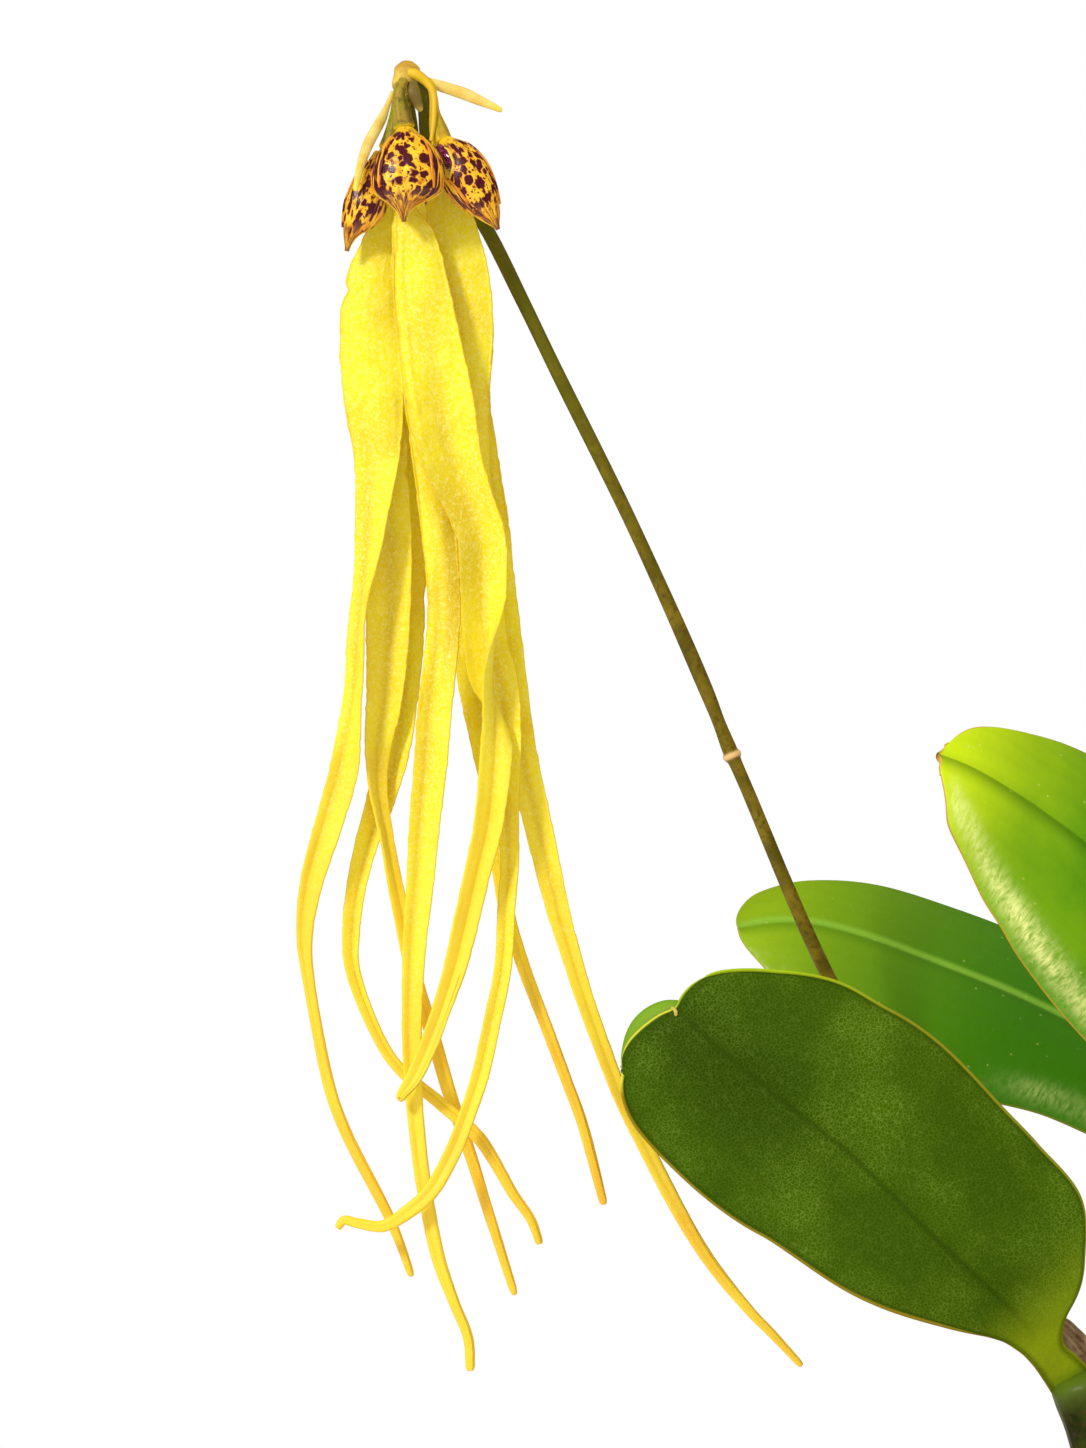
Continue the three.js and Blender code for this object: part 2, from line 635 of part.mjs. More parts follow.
// Rings of equal count, skinned, with a fan at each end
function skin(rings) {
  const count = rings[0].length;
  const points = rings.flat();
  const triangles = [];
  for (let i = 0; i < rings.length - 1; i += 1) {
    for (let j = 0; j < count; j += 1) {
      const k = (j + 1) % count;
      const [p, q] = [i * count + j, i * count + k];
      triangles.push(p, q, q + count, p, q + count, p + count);
    }
  }
  const middle = (ring) =>
    ring.reduce((sum, p) => sum.add(p), new THREE.Vector3()).divideScalar(ring.length);
  const [start, end] = [points.length, points.length + 1];
  points.push(middle(rings[0]), middle(rings[rings.length - 1]));
  const lastRing = (rings.length - 1) * count;
  for (let j = 0; j < count; j += 1) {
    const k = (j + 1) % count;
    triangles.push(start, k, j, end, lastRing + j, lastRing + k);
  }
  return solidOf(points, triangles);
}

// A round stalk along rows [x, y, z, radius]
function stalk(rows, { sides = 8, perSpan = 2, grow = 0 } = {}) {
  const rings = steps(rows, perSpan).map((t) => {
    const centre = pointAt(rows, t);
    const radius = rowAt(rows, t)[3] + grow;
    const { a, n } = bladeFrame(rows, t, 0);
    return Array.from({ length: sides }, (_, k) => {
      const angle = (2 * Math.PI * k) / sides;
      return centre
        .clone()
        .addScaledVector(a, radius * Math.cos(angle))
        .addScaledVector(n, radius * Math.sin(angle));
    });
  });
  if (grow > 0) {
    const first = tangentAt(rows, 0).multiplyScalar(-grow);
    const final = tangentAt(rows, 1).multiplyScalar(grow);
    rings[0].forEach((p) => p.add(first));
    rings[rings.length - 1].forEach((p) => p.add(final));
  }
  return skin(rings);
}

// A solid of revolution from [radius, height] pairs, standing on z = 0
function turned(profile, sides) {
  const outline = profile.map(([radius, height]) => new THREE.Vector2(radius, height));
  const geometry = new THREE.LatheGeometry(outline, sides);
  geometry.rotateX(Math.PI / 2);
  geometry.deleteAttribute('normal');
  geometry.deleteAttribute('uv');
  const merged = mergeVertices(geometry, 1e-4);
  const position = merged.attributes.position;
  const points = Array.from({ length: position.count }, (_, i) =>
    new THREE.Vector3().fromBufferAttribute(position, i),
  );
  const index = Array.from(merged.index.array);
  const triangles = [];
  for (let i = 0; i < index.length; i += 3) {
    const [p, q, r] = index.slice(i, i + 3);
    if (p !== q && q !== r && r !== p) triangles.push(p, q, r);
  }
  return solidOf(points, triangles);
}

function union(solids) {
  return solids.reduce((sum, solid) => sum.add(solid));
}

// ---------------------------------------------------------------- flowers

// One lateral sepal: a strap with a cambered face, no thinner than the blade thickness
function strap(rows, { perSpan = 1.5, grow = 0 } = {}) {
  const across = [-1, 0, 1];
  const half = BLADE / 2 + grow;
  const front = [];
  const back = [];
  for (const t of steps(rows, perSpan)) {
    const [x, y, z, width, turn] = rowAt(rows, t);
    const { a, n } = bladeFrame(rows, t, turn);
    const reach = width / 2 + grow;
    const line = across.map((s) =>
      new THREE.Vector3(x, y, z)
        .addScaledVector(a, s * reach)
        .addScaledVector(n, SEPAL_CAMBER * width * (1 - s * s)),
    );
    front.push(line.map((p) => p.clone().addScaledVector(n, half)));
    back.push(line.map((p) => p.clone().addScaledVector(n, -half)));
  }
  return slab(front, back);
}

function sepals(number, grow = 0) {
  return union(SEPALS[number].map((rows) => strap(rows, { grow })));
}

function ovary(number, grow = 0) {
  return stalk(FLOWERS[number].ovary, { grow });
}

// A point on a hood: v from its foot to its tip, an angle in degrees round its axis from the
// side it bulges to, and an offset outwards from the middle of its sheet
function hoodPoint(number, v, degrees, offset) {
  const { foot, tip, bulge, left, right } = FLOWERS[number];
  const start = new THREE.Vector3(...foot);
  const axis = new THREE.Vector3(...tip).sub(start);
  const along = axis.clone().normalize();
  const out = new THREE.Vector3(...bulge);
  out.addScaledVector(along, -out.dot(along)).normalize();
  const side = new THREE.Vector3().crossVectors(out, along);
  const share = Math.min(Math.max(v, 0), 1);
  const reach = (widths) => {
    const [width] = rowAt(widths.map((value) => [value]), share);
    return Math.max(width - BLADE / 2, 0.3);
  };
  const depth = 0.36 * (reach(left) + reach(right));
  const angle = THREE.MathUtils.degToRad(degrees);
  const width = reach(degrees < 0 ? left : right);
  const rise = 2.2 * Math.sin(Math.PI * share ** 0.8) - 0.4 * depth;
  return start
    .addScaledVector(axis, v)
    .addScaledVector(side, width * Math.sin(angle))
    .addScaledVector(out, depth * Math.cos(angle) + rise)
    .addScaledVector(side, offset * Math.sin(angle))
    .addScaledVector(out, offset * Math.cos(angle));
}

// The dorsal sepal, a sheet wrapped round the hood's axis and drawn to a point, with the two
// small petals grown on along its sides
function hood(number, grow = 0) {
  const { wrap, open } = FLOWERS[number];
  const sheet = (first, last, anglesAt, lift, rows, columns) => {
    const half = BLADE / 2 + grow;
    const [from, to] = [first - grow / HOOD_LENGTH, last + grow / HOOD_LENGTH];
    const spread = 16 * grow; // degrees by which a larger copy passes the sheet's edges
    const side = (offset) =>
      Array.from({ length: rows + 1 }, (_, i) => {
        const v = from + ((to - from) * i) / rows;
        const [start, end] = anglesAt(v, i / rows);
        const swing = (end - start) / 2 + spread;
        return Array.from({ length: columns + 1 }, (__, j) =>
          hoodPoint(number, v, (start + end) / 2 + swing * ((2 * j) / columns - 1), lift + offset),
        );
      });
    return slab(side(half), side(-half));
  };
  const margins = (v) => {
    const mouth = THREE.MathUtils.smoothstep(0.52 - v, 0, 0.26);
    return [wrap[0] + open[0] * mouth, wrap[1] - open[1] * mouth];
  };
  const petal = (side) => {
    const from = open[side] > 0 ? PETALS.fromMouth : PETALS.from;
    const edge = wrap[side] + (side === 0 ? 0.5 : -0.5) * PETALS.wide;
    const anglesAt = (v, share) => {
      const half = 0.5 * PETALS.wide * Math.sin(Math.PI * (0.16 + 0.68 * share));
      return [edge - half, edge + half];
    };
    return sheet(from, PETALS.to, anglesAt, PETALS.proud + grow, 5, 2);
  };
  return union([sheet(0, 1, margins, 0, 11, 8), petal(0), petal(1)]);
}

// Lip and column: a small plump body in the hood's mouth
function lip(number, grow = 0) {
  return stalk(FLOWERS[number].lip, { sides: 8, grow });
}

// ---------------------------------------------------------------- stalks of the umbel

// The scape, one stalk with a pale ring grown round its node
function scape(grow = 0) {
  const { at, radius, height } = NODE_RING;
  const along = new THREE.Vector3(2.3, -0.1, -5.2).normalize();
  const ring = [-0.5, 0, 0.5].map((s) => {
    const p = new THREE.Vector3(...at).addScaledVector(along, s * (height + 2 * grow));
    return [p.x, p.y, p.z, (s === 0 ? radius : radius * 0.92) + grow];
  });
  const stem = stalk(SCAPE, { sides: 8, perSpan: 1.5, grow });
  return stem.add(stalk(ring, { sides: 12, perSpan: 1 }));
}

function knob(grow = 0) {
  const { at, radius } = KNOB;
  const arc = Array.from({ length: 7 }, (_, i) => {
    const angle = (Math.PI * i) / 6 - Math.PI / 2;
    return [(radius + grow) * Math.cos(angle), (radius + grow) * Math.sin(angle)];
  });
  arc[0][0] = 0;
  arc[6][0] = 0;
  return turned(arc, 12).translate(at);
}

function bract(name, grow = 0) {
  return strap(BRACTS[name], { perSpan: 1.5, grow });
}

// ---------------------------------------------------------------- leaves

// A leaf blade with its petiole: arched across its midrib, with a groove or keel along it
function leaf(number, grow = 0) {
  const { rows, arch, groove, lobes, mucro } = LEAVES[number];
  const across = [-1, -0.8, -0.55, -0.3, -0.1, 0, 0.1, 0.3, 0.55, 0.8, 1];
  const half = LEAF_THICKNESS / 2 + grow;
  const front = [];
  const back = [];
  for (const t of steps(rows, 1.5)) {
    const [x, y, z, lower, upper, tilt] = rowAt(rows, t);
    const { along, a, n } = bladeFrame(rows, t, -tilt);
    const faces = [[], []];
    for (const s of across) {
      const offset = s > 0 ? s * (lower + grow) : s * (upper + grow);
      const angle = offset / arch;
      const width = Math.abs(offset);
      const crease = groove * Math.exp(-((width / 2.2) ** 2)) * Math.min(1, lower / 10);
      const lobe = lobes[s > 0 ? 0 : 1];
      const notch = lobe * Math.sin(Math.PI * Math.abs(s) ** 0.8) + (s === 0 ? mucro : 0);
      const normal = n
        .clone()
        .multiplyScalar(Math.cos(angle))
        .addScaledVector(a, Math.sin(angle));
      const middle = new THREE.Vector3(x, y, z)
        .addScaledVector(a, arch * Math.sin(angle))
        .addScaledVector(n, -arch * (1 - Math.cos(angle)) - crease)
        .addScaledVector(along, notch * Math.max(0, (t - 0.86) / 0.14) ** 2);
      faces[0].push(middle.clone().addScaledVector(normal, half));
      faces[1].push(middle.clone().addScaledVector(normal, -half));
    }
    front.push(faces[0]);
    back.push(faces[1]);
  }
  return slab(front, back);
}

// ---------------------------------------------------------------- bulbs, rhizome and pot

function bulb(name, grow = 0) {
  const { foot, top, radius, outline } = BULBS[name];
  const rows = BULB_OUTLINES[outline].map((share, i) => {
    const v = i / 8;
    const point = foot.map((value, k) => value + (top[k] - value) * v);
    return [...point, radius * share];
  });
  const rings = rows.map((row, i) => {
    const t = i / 8;
    const { a, n } = bladeFrame(rows, t, 0);
    return Array.from({ length: 20 }, (_, k) => {
      const angle = (2 * Math.PI * k) / 20;
      const rib = 1 - BULB_RIBS.depth * (1 + Math.cos(BULB_RIBS.count * angle)) * Math.sin(Math.PI * t);
      const reach = row[3] * rib + grow;
      return new THREE.Vector3(row[0], row[1], row[2])
        .addScaledVector(a, reach * Math.cos(angle))
        .addScaledVector(n, reach * Math.sin(angle));
    });
  });
  if (grow > 0) {
    const push = tangentAt(rows, 0.5).multiplyScalar(grow);
    rings[0].forEach((p) => p.sub(push));
    rings[rings.length - 1].forEach((p) => p.add(push));
  }
  return skin(rings);
}

function oldBulb(grow = 0) {
  return stalk(OLD_BULB, { sides: 12, perSpan: 2, grow });
}

function rhizome(grow = 0) {
  const stems = RHIZOMES.map((rows) => stalk(rows, { sides: 8, perSpan: 2, grow }));
  const roots = ROOTS.map((rows) => stalk(rows, { sides: 6, perSpan: 3, grow }));
  return union([...stems, ...roots]);
}

function pot() {
  const { height, rimRadius, rimDepth, rimStep, footRadius, wall, floor, sides } = POT;
  const bandFoot = height - rimDepth;
  const slope = (rimRadius - rimStep - footRadius) / height;
  const body = turned(
    [
      [0, 0],
      [footRadius - 1, 0],
      [footRadius, 1],
      [footRadius + slope * bandFoot, bandFoot],
      [rimRadius - 0.6, bandFoot + 0.6],
      [rimRadius, height - 1.2],
      [rimRadius - 1.2, height],
      [rimRadius - wall + 1, height],
      [rimRadius - wall, height - 1],
      [footRadius - wall + slope * floor, floor],
      [0, floor],
    ],
    sides,
  );
  const holes = Array.from({ length: POT.holes }, (_, k) => {
    const angle = (2 * Math.PI * (k + 0.5)) / POT.holes;
    const hole = turned(
      [
        [0, -1],
        [POT.holeRadius, -1],
        [POT.holeRadius, floor + 1],
        [0, floor + 1],
      ],
      16,
    );
    return hole.translate([POT.holeCircle * Math.cos(angle), POT.holeCircle * Math.sin(angle), 0]);
  });
  return body.subtract(union(holes));
}

function seededRandom(seed) {
  let state = seed;
  return () => {
    state = (state * 1664525 + 1013904223) % 4294967296;
    return state / 4294967296;
  };
}

// Height of the bark's surface: each chip is the flat, tilted top of the nearest seed point
function barkHeights() {
  const random = seededRandom(7);
  const chips = [];
  const reach = POT.rimRadius;
  for (let x = -reach; x <= reach; x += BARK.chip) {
    for (let y = -reach; y <= reach; y += BARK.chip) {
      const shift = () => (random() - 0.5) * BARK.chip;
      chips.push({
        x: x + shift(),
        y: y + shift(),
        rise: random() * BARK.relief,
        tiltX: (random() - 0.5) * 0.3,
        tiltY: (random() - 0.5) * 0.3,
      });
    }
  }
  return (x, y) => {
    let best = chips[0];
    let nearest = Infinity;
    for (const chip of chips) {
      const distance = (x - chip.x) ** 2 + (y - chip.y) ** 2;
      if (distance < nearest) [nearest, best] = [distance, chip];
    }
    const crown = BARK.crown * (1 - (x * x + y * y) / (reach * reach));
    const tilt = best.tiltX * (x - best.x) + best.tiltY * (y - best.y);
    return BARK.top + crown + best.rise - BARK.relief + tilt;
  };
}

function bark() {
  const { rimRadius, rimStep, height, footRadius, wall, floor } = POT;
  const low = footRadius - wall + ((rimRadius - rimStep - footRadius) / height) * floor;
  const slope = (rimRadius - wall - low) / (height - 1 - floor);
  const clearance = GAP * Math.sqrt(1 + slope * slope) + 0.1;
  const inner = (z) => low + slope * (z - floor) - clearance;
  const heightAt = barkHeights();
  const bottom = floor + GAP;
  const edge = BARK.top - 1.5;
  const rings = [];
  const ring = (radius, z) =>
    Array.from({ length: BARK.sides }, (_, k) => {
      const angle = (2 * Math.PI * k) / BARK.sides;
      return new THREE.Vector3(radius * Math.cos(angle), radius * Math.sin(angle), z);
    });
  rings.push(ring(inner(bottom), bottom), ring(inner(edge), edge));
  for (let i = BARK.rings; i >= 1; i -= 1) {
    const radius = (inner(edge) - 0.4) * (i / (BARK.rings + 0.4));
    rings.push(ring(radius, 0).map((p) => p.setZ(heightAt(p.x, p.y))));
  }
  return skin(rings);
}

// ---------------------------------------------------------------- the assembly

const COLOURS = {
  clay: 0xb5673f,
  bark: 0x5a3a24,
  rhizome: 0x7a6a3a,
  bulb: 0x4f6b1c,
  oldBulb: 0x6e543c,
  leaf: 0x4c8a10,
  scape: 0x55551a,
  knob: 0xd9a95a,
  bract: 0xf0d27a,
  ovary: 0x8d7c34,
  hood: 0xf7b21e,
  lip: 0x5c1a48,
  sepal: 0xf5dc1e,
};

const object = new THREE.Group();

function place(name, solid, colour, roughness = 0.6) {
  const mesh = solid.getMesh();
  const geometry = new THREE.BufferGeometry();
  geometry.setAttribute('position', new THREE.BufferAttribute(mesh.vertProperties, 3));
  geometry.setIndex(Array.from(mesh.triVerts));
  geometry.computeVertexNormals();
  const material = new THREE.MeshStandardMaterial({ color: colour, roughness, metalness: 0 });
  const piece = new THREE.Mesh(geometry, material);
  piece.name = name;
  object.add(piece);
}

const bulbNames = Object.keys(BULBS);
const numbers = Object.keys(FLOWERS);
const without = (solid, neighbours) => neighbours.reduce((rest, other) => rest.subtract(other), solid);
const largest = (solid) =>
  solid.decompose().reduce((best, part) => (part.volume() > best.volume() ? part : best));

place('pot', pot(), COLOURS.clay, 0.85);

const rhizomeRoom = rhizome(CUT);
const bulbRooms = bulbNames.map((name) => bulb(name, CUT));
const oldBulbRoom = oldBulb(CUT);
const scapeRoom = scape(CUT);
const bedRooms = [rhizomeRoom, ...bulbRooms, oldBulbRoom, scapeRoom];

place('bark_medium', largest(without(bark(), bedRooms)), COLOURS.bark, 0.95);
place('rhizome', largest(rhizome()), COLOURS.rhizome, 0.8);
bulbNames.forEach((name) => {
  place(name, largest(without(bulb(name), [rhizomeRoom])), COLOURS.bulb);
});
place('old_pseudobulb', largest(without(oldBulb(), [rhizomeRoom, ...bulbRooms])), COLOURS.oldBulb, 0.8);
Object.keys(LEAVES).forEach((number) => {
  const room = [bulbRooms[number - 1], oldBulbRoom];
  place(`leaf_${number}`, largest(without(leaf(number), room)), COLOURS.leaf, 0.45);
});

const knobRoom = knob(CUT);
place('umbel_head', knob(), COLOURS.knob);
place('scape', largest(without(scape(), [knobRoom, rhizomeRoom, ...bulbRooms, oldBulbRoom])), COLOURS.scape);

const ovaryRooms = {};
for (const number of numbers) ovaryRooms[number] = ovary(number, CUT);
const hoodRooms = {};
for (const number of numbers) hoodRooms[number] = hood(number, CUT);

Object.keys(BRACTS).forEach((name) => {
  const rooms = [knobRoom, scapeRoom, ...Object.values(ovaryRooms)];
  place(name, largest(without(bract(name), rooms)), COLOURS.bract);
});

for (const number of numbers) {
  place(`ovary_${number}`, largest(without(ovary(number), [knobRoom, scapeRoom])), COLOURS.ovary);
  place(`hood_${number}`, largest(without(hood(number), [ovaryRooms[number]])), COLOURS.hood, 0.5);
  const lipRooms = [ovaryRooms[number], hoodRooms[number]];
  place(`lip_${number}`, largest(without(lip(number), lipRooms)), COLOURS.lip, 0.2);
  const sepalRooms = [ovaryRooms[number], hoodRooms[number], lip(number, CUT)];
  place(`sepals_${number}`, largest(without(sepals(number), sepalRooms)), COLOURS.sepal, 0.5);
}

export default object;
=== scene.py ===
"""Bulbophyllum orchid in flower, in a clay pot of bark: its looks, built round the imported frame.

Lengths in the tables are millimetres in the frame's axes: +Z up, the flowers hanging to -X, the
plant seen from -Y. Angles are degrees.
"""

import math
from functools import partial

import bpy
import numpy as np
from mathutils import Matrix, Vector


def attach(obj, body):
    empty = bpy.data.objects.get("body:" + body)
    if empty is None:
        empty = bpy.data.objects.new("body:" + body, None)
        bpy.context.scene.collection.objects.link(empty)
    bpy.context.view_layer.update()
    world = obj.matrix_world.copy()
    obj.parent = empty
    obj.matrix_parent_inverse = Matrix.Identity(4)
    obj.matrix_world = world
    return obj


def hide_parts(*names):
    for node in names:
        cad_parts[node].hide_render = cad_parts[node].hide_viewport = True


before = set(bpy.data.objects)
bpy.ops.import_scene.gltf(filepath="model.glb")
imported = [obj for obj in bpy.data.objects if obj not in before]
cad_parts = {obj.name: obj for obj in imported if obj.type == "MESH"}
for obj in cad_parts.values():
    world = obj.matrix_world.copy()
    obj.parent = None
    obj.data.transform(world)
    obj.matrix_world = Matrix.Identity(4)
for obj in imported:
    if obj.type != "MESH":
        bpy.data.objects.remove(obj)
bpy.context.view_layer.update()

bl_info = {
    "name": "Bulbophyllum orchid in a pot", "version": (1, 0, 0), "blender": (4, 5, 0),
    "location": "3D View > Sidebar > Orchid",
    "description": "Builds the visible surfaces of a potted bulbophyllum orchid, piece by piece",
    "category": "Object"
}

# ---------------------------------------------------------------- the plant's own lines

# Each lateral sepal: [x, y, z, width, turn] down its midline. Turn is about the midline, 0 with
# the face towards -Y, and a negative turn brings its right edge forward.
SEPALS = {
    1: [
        [
            [-134.8, -0.4, 316.4, 2.6, 0], [-134.5, -0.8, 311.3, 3.2, 0], [-135.3, -1.5, 304.5, 5.0, 0],
            [-136.6, -2.0, 297.3, 8.4, 0], [-136.8, -2.0, 287.8, 10.4, 0], [-136.1, -2.0, 277.0, 10.2, 0],
            [-135.6, -1.8, 267.0, 8.0, -10], [-136.6, -1.2, 253.9, 6.4, -35], [-138.5, -0.5, 240.2, 5.6, -55],
            [-139.4, 0.0, 227.8, 5.2, -45], [-140.4, 0.3, 219.0, 5.0, -20], [-141.6, 0.5, 212.8, 5.0, 0],
            [-144.2, 0.5, 204.0, 4.7, 0], [-146.9, 0.5, 194.5, 3.8, 0], [-148.0, 0.5, 186.1, 2.7, 0],
            [-147.2, 0.5, 178.0, 1.9, 0], [-144.4, 0.8, 162.8, 1.8, 0], [-140.8, 1.0, 152.1, 1.7, 0],
            [-133.8, 1.5, 138.4, 1.5, 0], [-129.8, 1.5, 127.9, 1.0, 0]
        ],
        [
            [-134.6, -0.2, 316.4, 2.6, 0], [-134.0, -0.5, 311.3, 3.2, 0], [-134.7, -0.4, 304.4, 5.2, -20],
            [-135.2, 0.7, 295.9, 8.2, -38], [-135.0, 0.9, 277.2, 9.4, -38], [-134.3, 1.0, 268.7, 9.2, -30],
            [-134.0, 1.8, 259.3, 8.6, -15], [-133.7, 2.0, 248.3, 7.9, 0], [-133.9, 2.2, 236.3, 7.3, 0],
            [-134.6, 2.3, 226.1, 6.2, 10], [-135.7, 2.4, 218.6, 5.2, 25], [-135.7, 2.5, 210.8, 3.8, 38],
            [-134.1, 2.5, 201.9, 3.0, 40], [-132.3, 2.5, 192.9, 2.8, 20], [-129.4, 2.8, 179.2, 2.6, 0],
            [-126.0, 3.4, 167.9, 2.3, 0], [-122.8, 4.2, 157.1, 2.1, 0], [-119.1, 4.2, 146.2, 1.8, 0],
            [-115.8, 4.0, 135.6, 1.5, 0], [-112.2, 4.0, 124.5, 1.0, 0]
        ]
    ],
    2: [
        [
            [-131.2, -4.0, 318.8, 2.6, 0], [-131.4, -4.8, 309.3, 3.0, 0], [-130.8, -5.0, 302.2, 4.6, 20],
            [-129.6, -4.2, 292.1, 6.8, 28], [-127.6, -4.0, 276.9, 7.4, 24], [-125.9, -3.2, 262.5, 6.6, 14],
            [-124.8, -2.6, 251.5, 5.8, 6], [-124.2, -2.2, 241.7, 5.6, 0], [-124.8, -2.0, 233.4, 5.7, 0],
            [-125.8, -2.0, 224.2, 5.8, 0], [-126.4, -2.0, 216.4, 5.7, 0], [-127.4, -2.0, 206.2, 5.3, 0],
            [-128.4, -1.8, 193.9, 4.6, 0], [-129.3, -1.6, 183.5, 3.9, 0], [-129.7, -1.2, 170.7, 3.3, 0],
            [-129.4, -1.0, 159.5, 2.9, 0], [-128.7, -1.0, 151.5, 2.6, 0], [-127.4, -1.0, 142.0, 2.4, 0],
            [-125.4, -1.0, 132.0, 2.1, 0], [-122.6, -1.0, 124.0, 1.6, 0], [-120.2, -1.0, 117.8, 1.5, 0],
            [-119.8, -1.0, 112.2, 1.3, 0]
        ],
        [
            [-131.0, -4.2, 318.8, 2.6, 0], [-130.6, -5.4, 309.3, 3.4, 0], [-128.9, -6.2, 303.7, 6.8, 0],
            [-128.0, -6.2, 296.5, 9.0, 0], [-126.6, -6.0, 286.9, 10.4, 0], [-124.9, -5.6, 276.8, 11.4, 0],
            [-122.8, -5.4, 266.8, 10.2, 0], [-119.8, -5.2, 259.0, 8.4, 0], [-117.9, -5.2, 253.1, 8.0, 5],
            [-117.6, -5.2, 244.7, 8.0, 10], [-117.4, -5.2, 237.6, 7.4, -8], [-116.6, -5.0, 230.8, 6.4, -58],
            [-115.2, -4.8, 223.4, 5.6, -138], [-115.6, -4.6, 215.1, 5.2, -176],
            [-116.6, -4.4, 205.3, 4.9, -180], [-118.4, -4.2, 197.5, 4.4, -180],
            [-120.6, -4.0, 187.8, 4.2, -180], [-122.3, -4.0, 180.9, 3.8, -180],
            [-124.5, -4.0, 174.1, 3.2, -180], [-126.6, -4.0, 168.2, 3.0, -180],
            [-129.1, -4.0, 162.6, 2.6, -180], [-131.0, -4.0, 159.9, 1.8, -180],
            [-131.8, -4.0, 158.6, 1.1, -180]
        ]
    ],
    3: [
        [
            [-124.4, -0.8, 318.4, 2.6, 0], [-123.6, -0.9, 309.4, 7.4, 0], [-122.2, -1.4, 303.6, 8.4, 0],
            [-120.9, -1.6, 297.3, 8.8, 0], [-120.2, -1.4, 288.9, 8.6, 0], [-120.5, -1.2, 277.0, 8.0, 0],
            [-119.8, -1.0, 263.4, 7.2, 0], [-117.8, -1.0, 249.9, 6.6, 0], [-116.4, -1.0, 236.3, 6.0, 0],
            [-114.4, -1.0, 228.8, 5.6, 0], [-113.7, -1.0, 219.3, 5.2, 0], [-113.6, -1.0, 209.1, 4.2, 0],
            [-113.1, -1.0, 198.9, 3.1, 0], [-113.6, -1.2, 191.5, 3.0, 0], [-114.2, -1.6, 181.1, 2.9, 0],
            [-115.9, -2.0, 172.2, 2.9, 0], [-117.9, -2.6, 163.2, 2.9, 0], [-120.1, -3.0, 156.3, 2.7, 0],
            [-122.5, -3.4, 149.9, 2.7, 0], [-126.2, -4.0, 143.3, 2.6, 0], [-130.1, -4.0, 139.6, 2.3, 0],
            [-134.5, -3.8, 137.0, 1.8, 0], [-138.9, -3.6, 137.5, 1.5, 0], [-141.1, -3.4, 138.0, 1.3, 0],
            [-142.2, -3.4, 136.7, 1.0, 0]
        ],
        [
            [-124.2, -0.6, 318.4, 2.6, 0], [-122.6, -0.2, 309.4, 3.8, 0], [-120.9, 0.6, 303.8, 6.4, -22],
            [-119.5, 1.4, 297.6, 8.0, -38], [-119.2, 1.6, 289.1, 8.6, -38], [-119.5, 1.8, 277.2, 8.2, -36],
            [-118.5, 2.0, 268.2, 7.4, -24], [-116.6, 2.4, 256.8, 6.8, -10], [-115.6, 2.6, 248.3, 6.3, 0],
            [-113.9, 2.8, 236.3, 5.8, 0], [-111.5, 2.8, 219.3, 5.3, 0], [-108.8, 2.8, 207.0, 4.9, 0],
            [-106.9, 2.8, 198.8, 4.5, 0], [-104.7, 2.8, 189.6, 3.9, 0], [-102.8, 2.8, 183.1, 3.4, 0],
            [-100.1, 2.8, 174.6, 3.0, 0], [-95.4, 2.8, 161.7, 2.7, 0], [-91.5, 2.8, 153.1, 2.7, 0],
            [-86.2, 2.8, 142.6, 2.5, 0], [-79.8, 2.8, 131.5, 2.0, 0], [-72.9, 2.8, 122.8, 1.5, 0],
            [-68.4, 2.8, 118.0, 1.3, 0], [-63.3, 2.8, 112.5, 0.9, 0]
        ]
    ],
    4: [
        [
            [-130.3, 6.6, 318.0, 2.6, 0], [-130.8, 7.4, 311.6, 3.2, 0], [-132.3, 7.6, 304.0, 5.4, 0],
            [-133.0, 7.4, 289.6, 8.0, 0], [-132.1, 7.0, 273.2, 8.4, 0], [-131.4, 6.6, 260.4, 7.8, 0],
            [-131.1, 6.4, 248.4, 7.2, 0], [-131.4, 6.0, 235.7, 7.0, 0], [-132.1, 5.6, 226.1, 6.4, 0],
            [-133.1, 5.4, 217.6, 5.8, 0], [-135.1, 5.2, 209.4, 4.9, 0], [-137.7, 5.0, 201.3, 3.9, 0],
            [-139.4, 4.6, 193.7, 3.3, 0], [-140.2, 4.2, 186.8, 3.0, 0], [-139.9, 3.8, 180.0, 2.4, 0],
            [-136.4, 3.0, 170.5, 2.0, 0], [-132.3, 2.2, 163.7, 1.9, 0], [-125.0, 1.6, 157.5, 2.1, 0],
            [-119.0, 1.4, 152.2, 2.1, 0], [-116.0, 1.6, 148.1, 1.8, 0], [-112.6, 2.0, 142.1, 1.5, 0],
            [-109.5, 2.2, 137.5, 1.3, 0], [-108.0, 2.2, 133.4, 1.0, 0]
        ],
        [
            [-130.1, 6.6, 318.0, 2.6, 0], [-129.6, 7.4, 311.6, 3.2, 0], [-127.2, 7.7, 304.0, 5.4, 0],
            [-125.4, 7.7, 289.6, 8.0, 0], [-122.8, 7.6, 272.4, 8.4, 0], [-120.6, 7.4, 255.3, 7.8, 0],
            [-119.3, 7.0, 238.1, 6.4, 0], [-119.1, 6.8, 229.6, 6.0, 0], [-117.4, 6.4, 219.6, 5.2, 0],
            [-116.2, 6.0, 211.6, 4.2, 0], [-114.8, 5.0, 197.9, 2.9, 0], [-113.4, 4.6, 188.9, 2.5, 0],
            [-111.2, 4.6, 181.9, 2.2, 0], [-108.9, 4.6, 175.6, 2.1, 0], [-105.6, 4.6, 166.9, 1.9, 0],
            [-103.3, 4.6, 160.9, 1.7, 0], [-101.0, 4.6, 154.6, 1.6, 0], [-98.9, 4.6, 147.2, 1.4, 0],
            [-97.0, 4.6, 139.9, 1.1, 0]
        ]
    ]
}

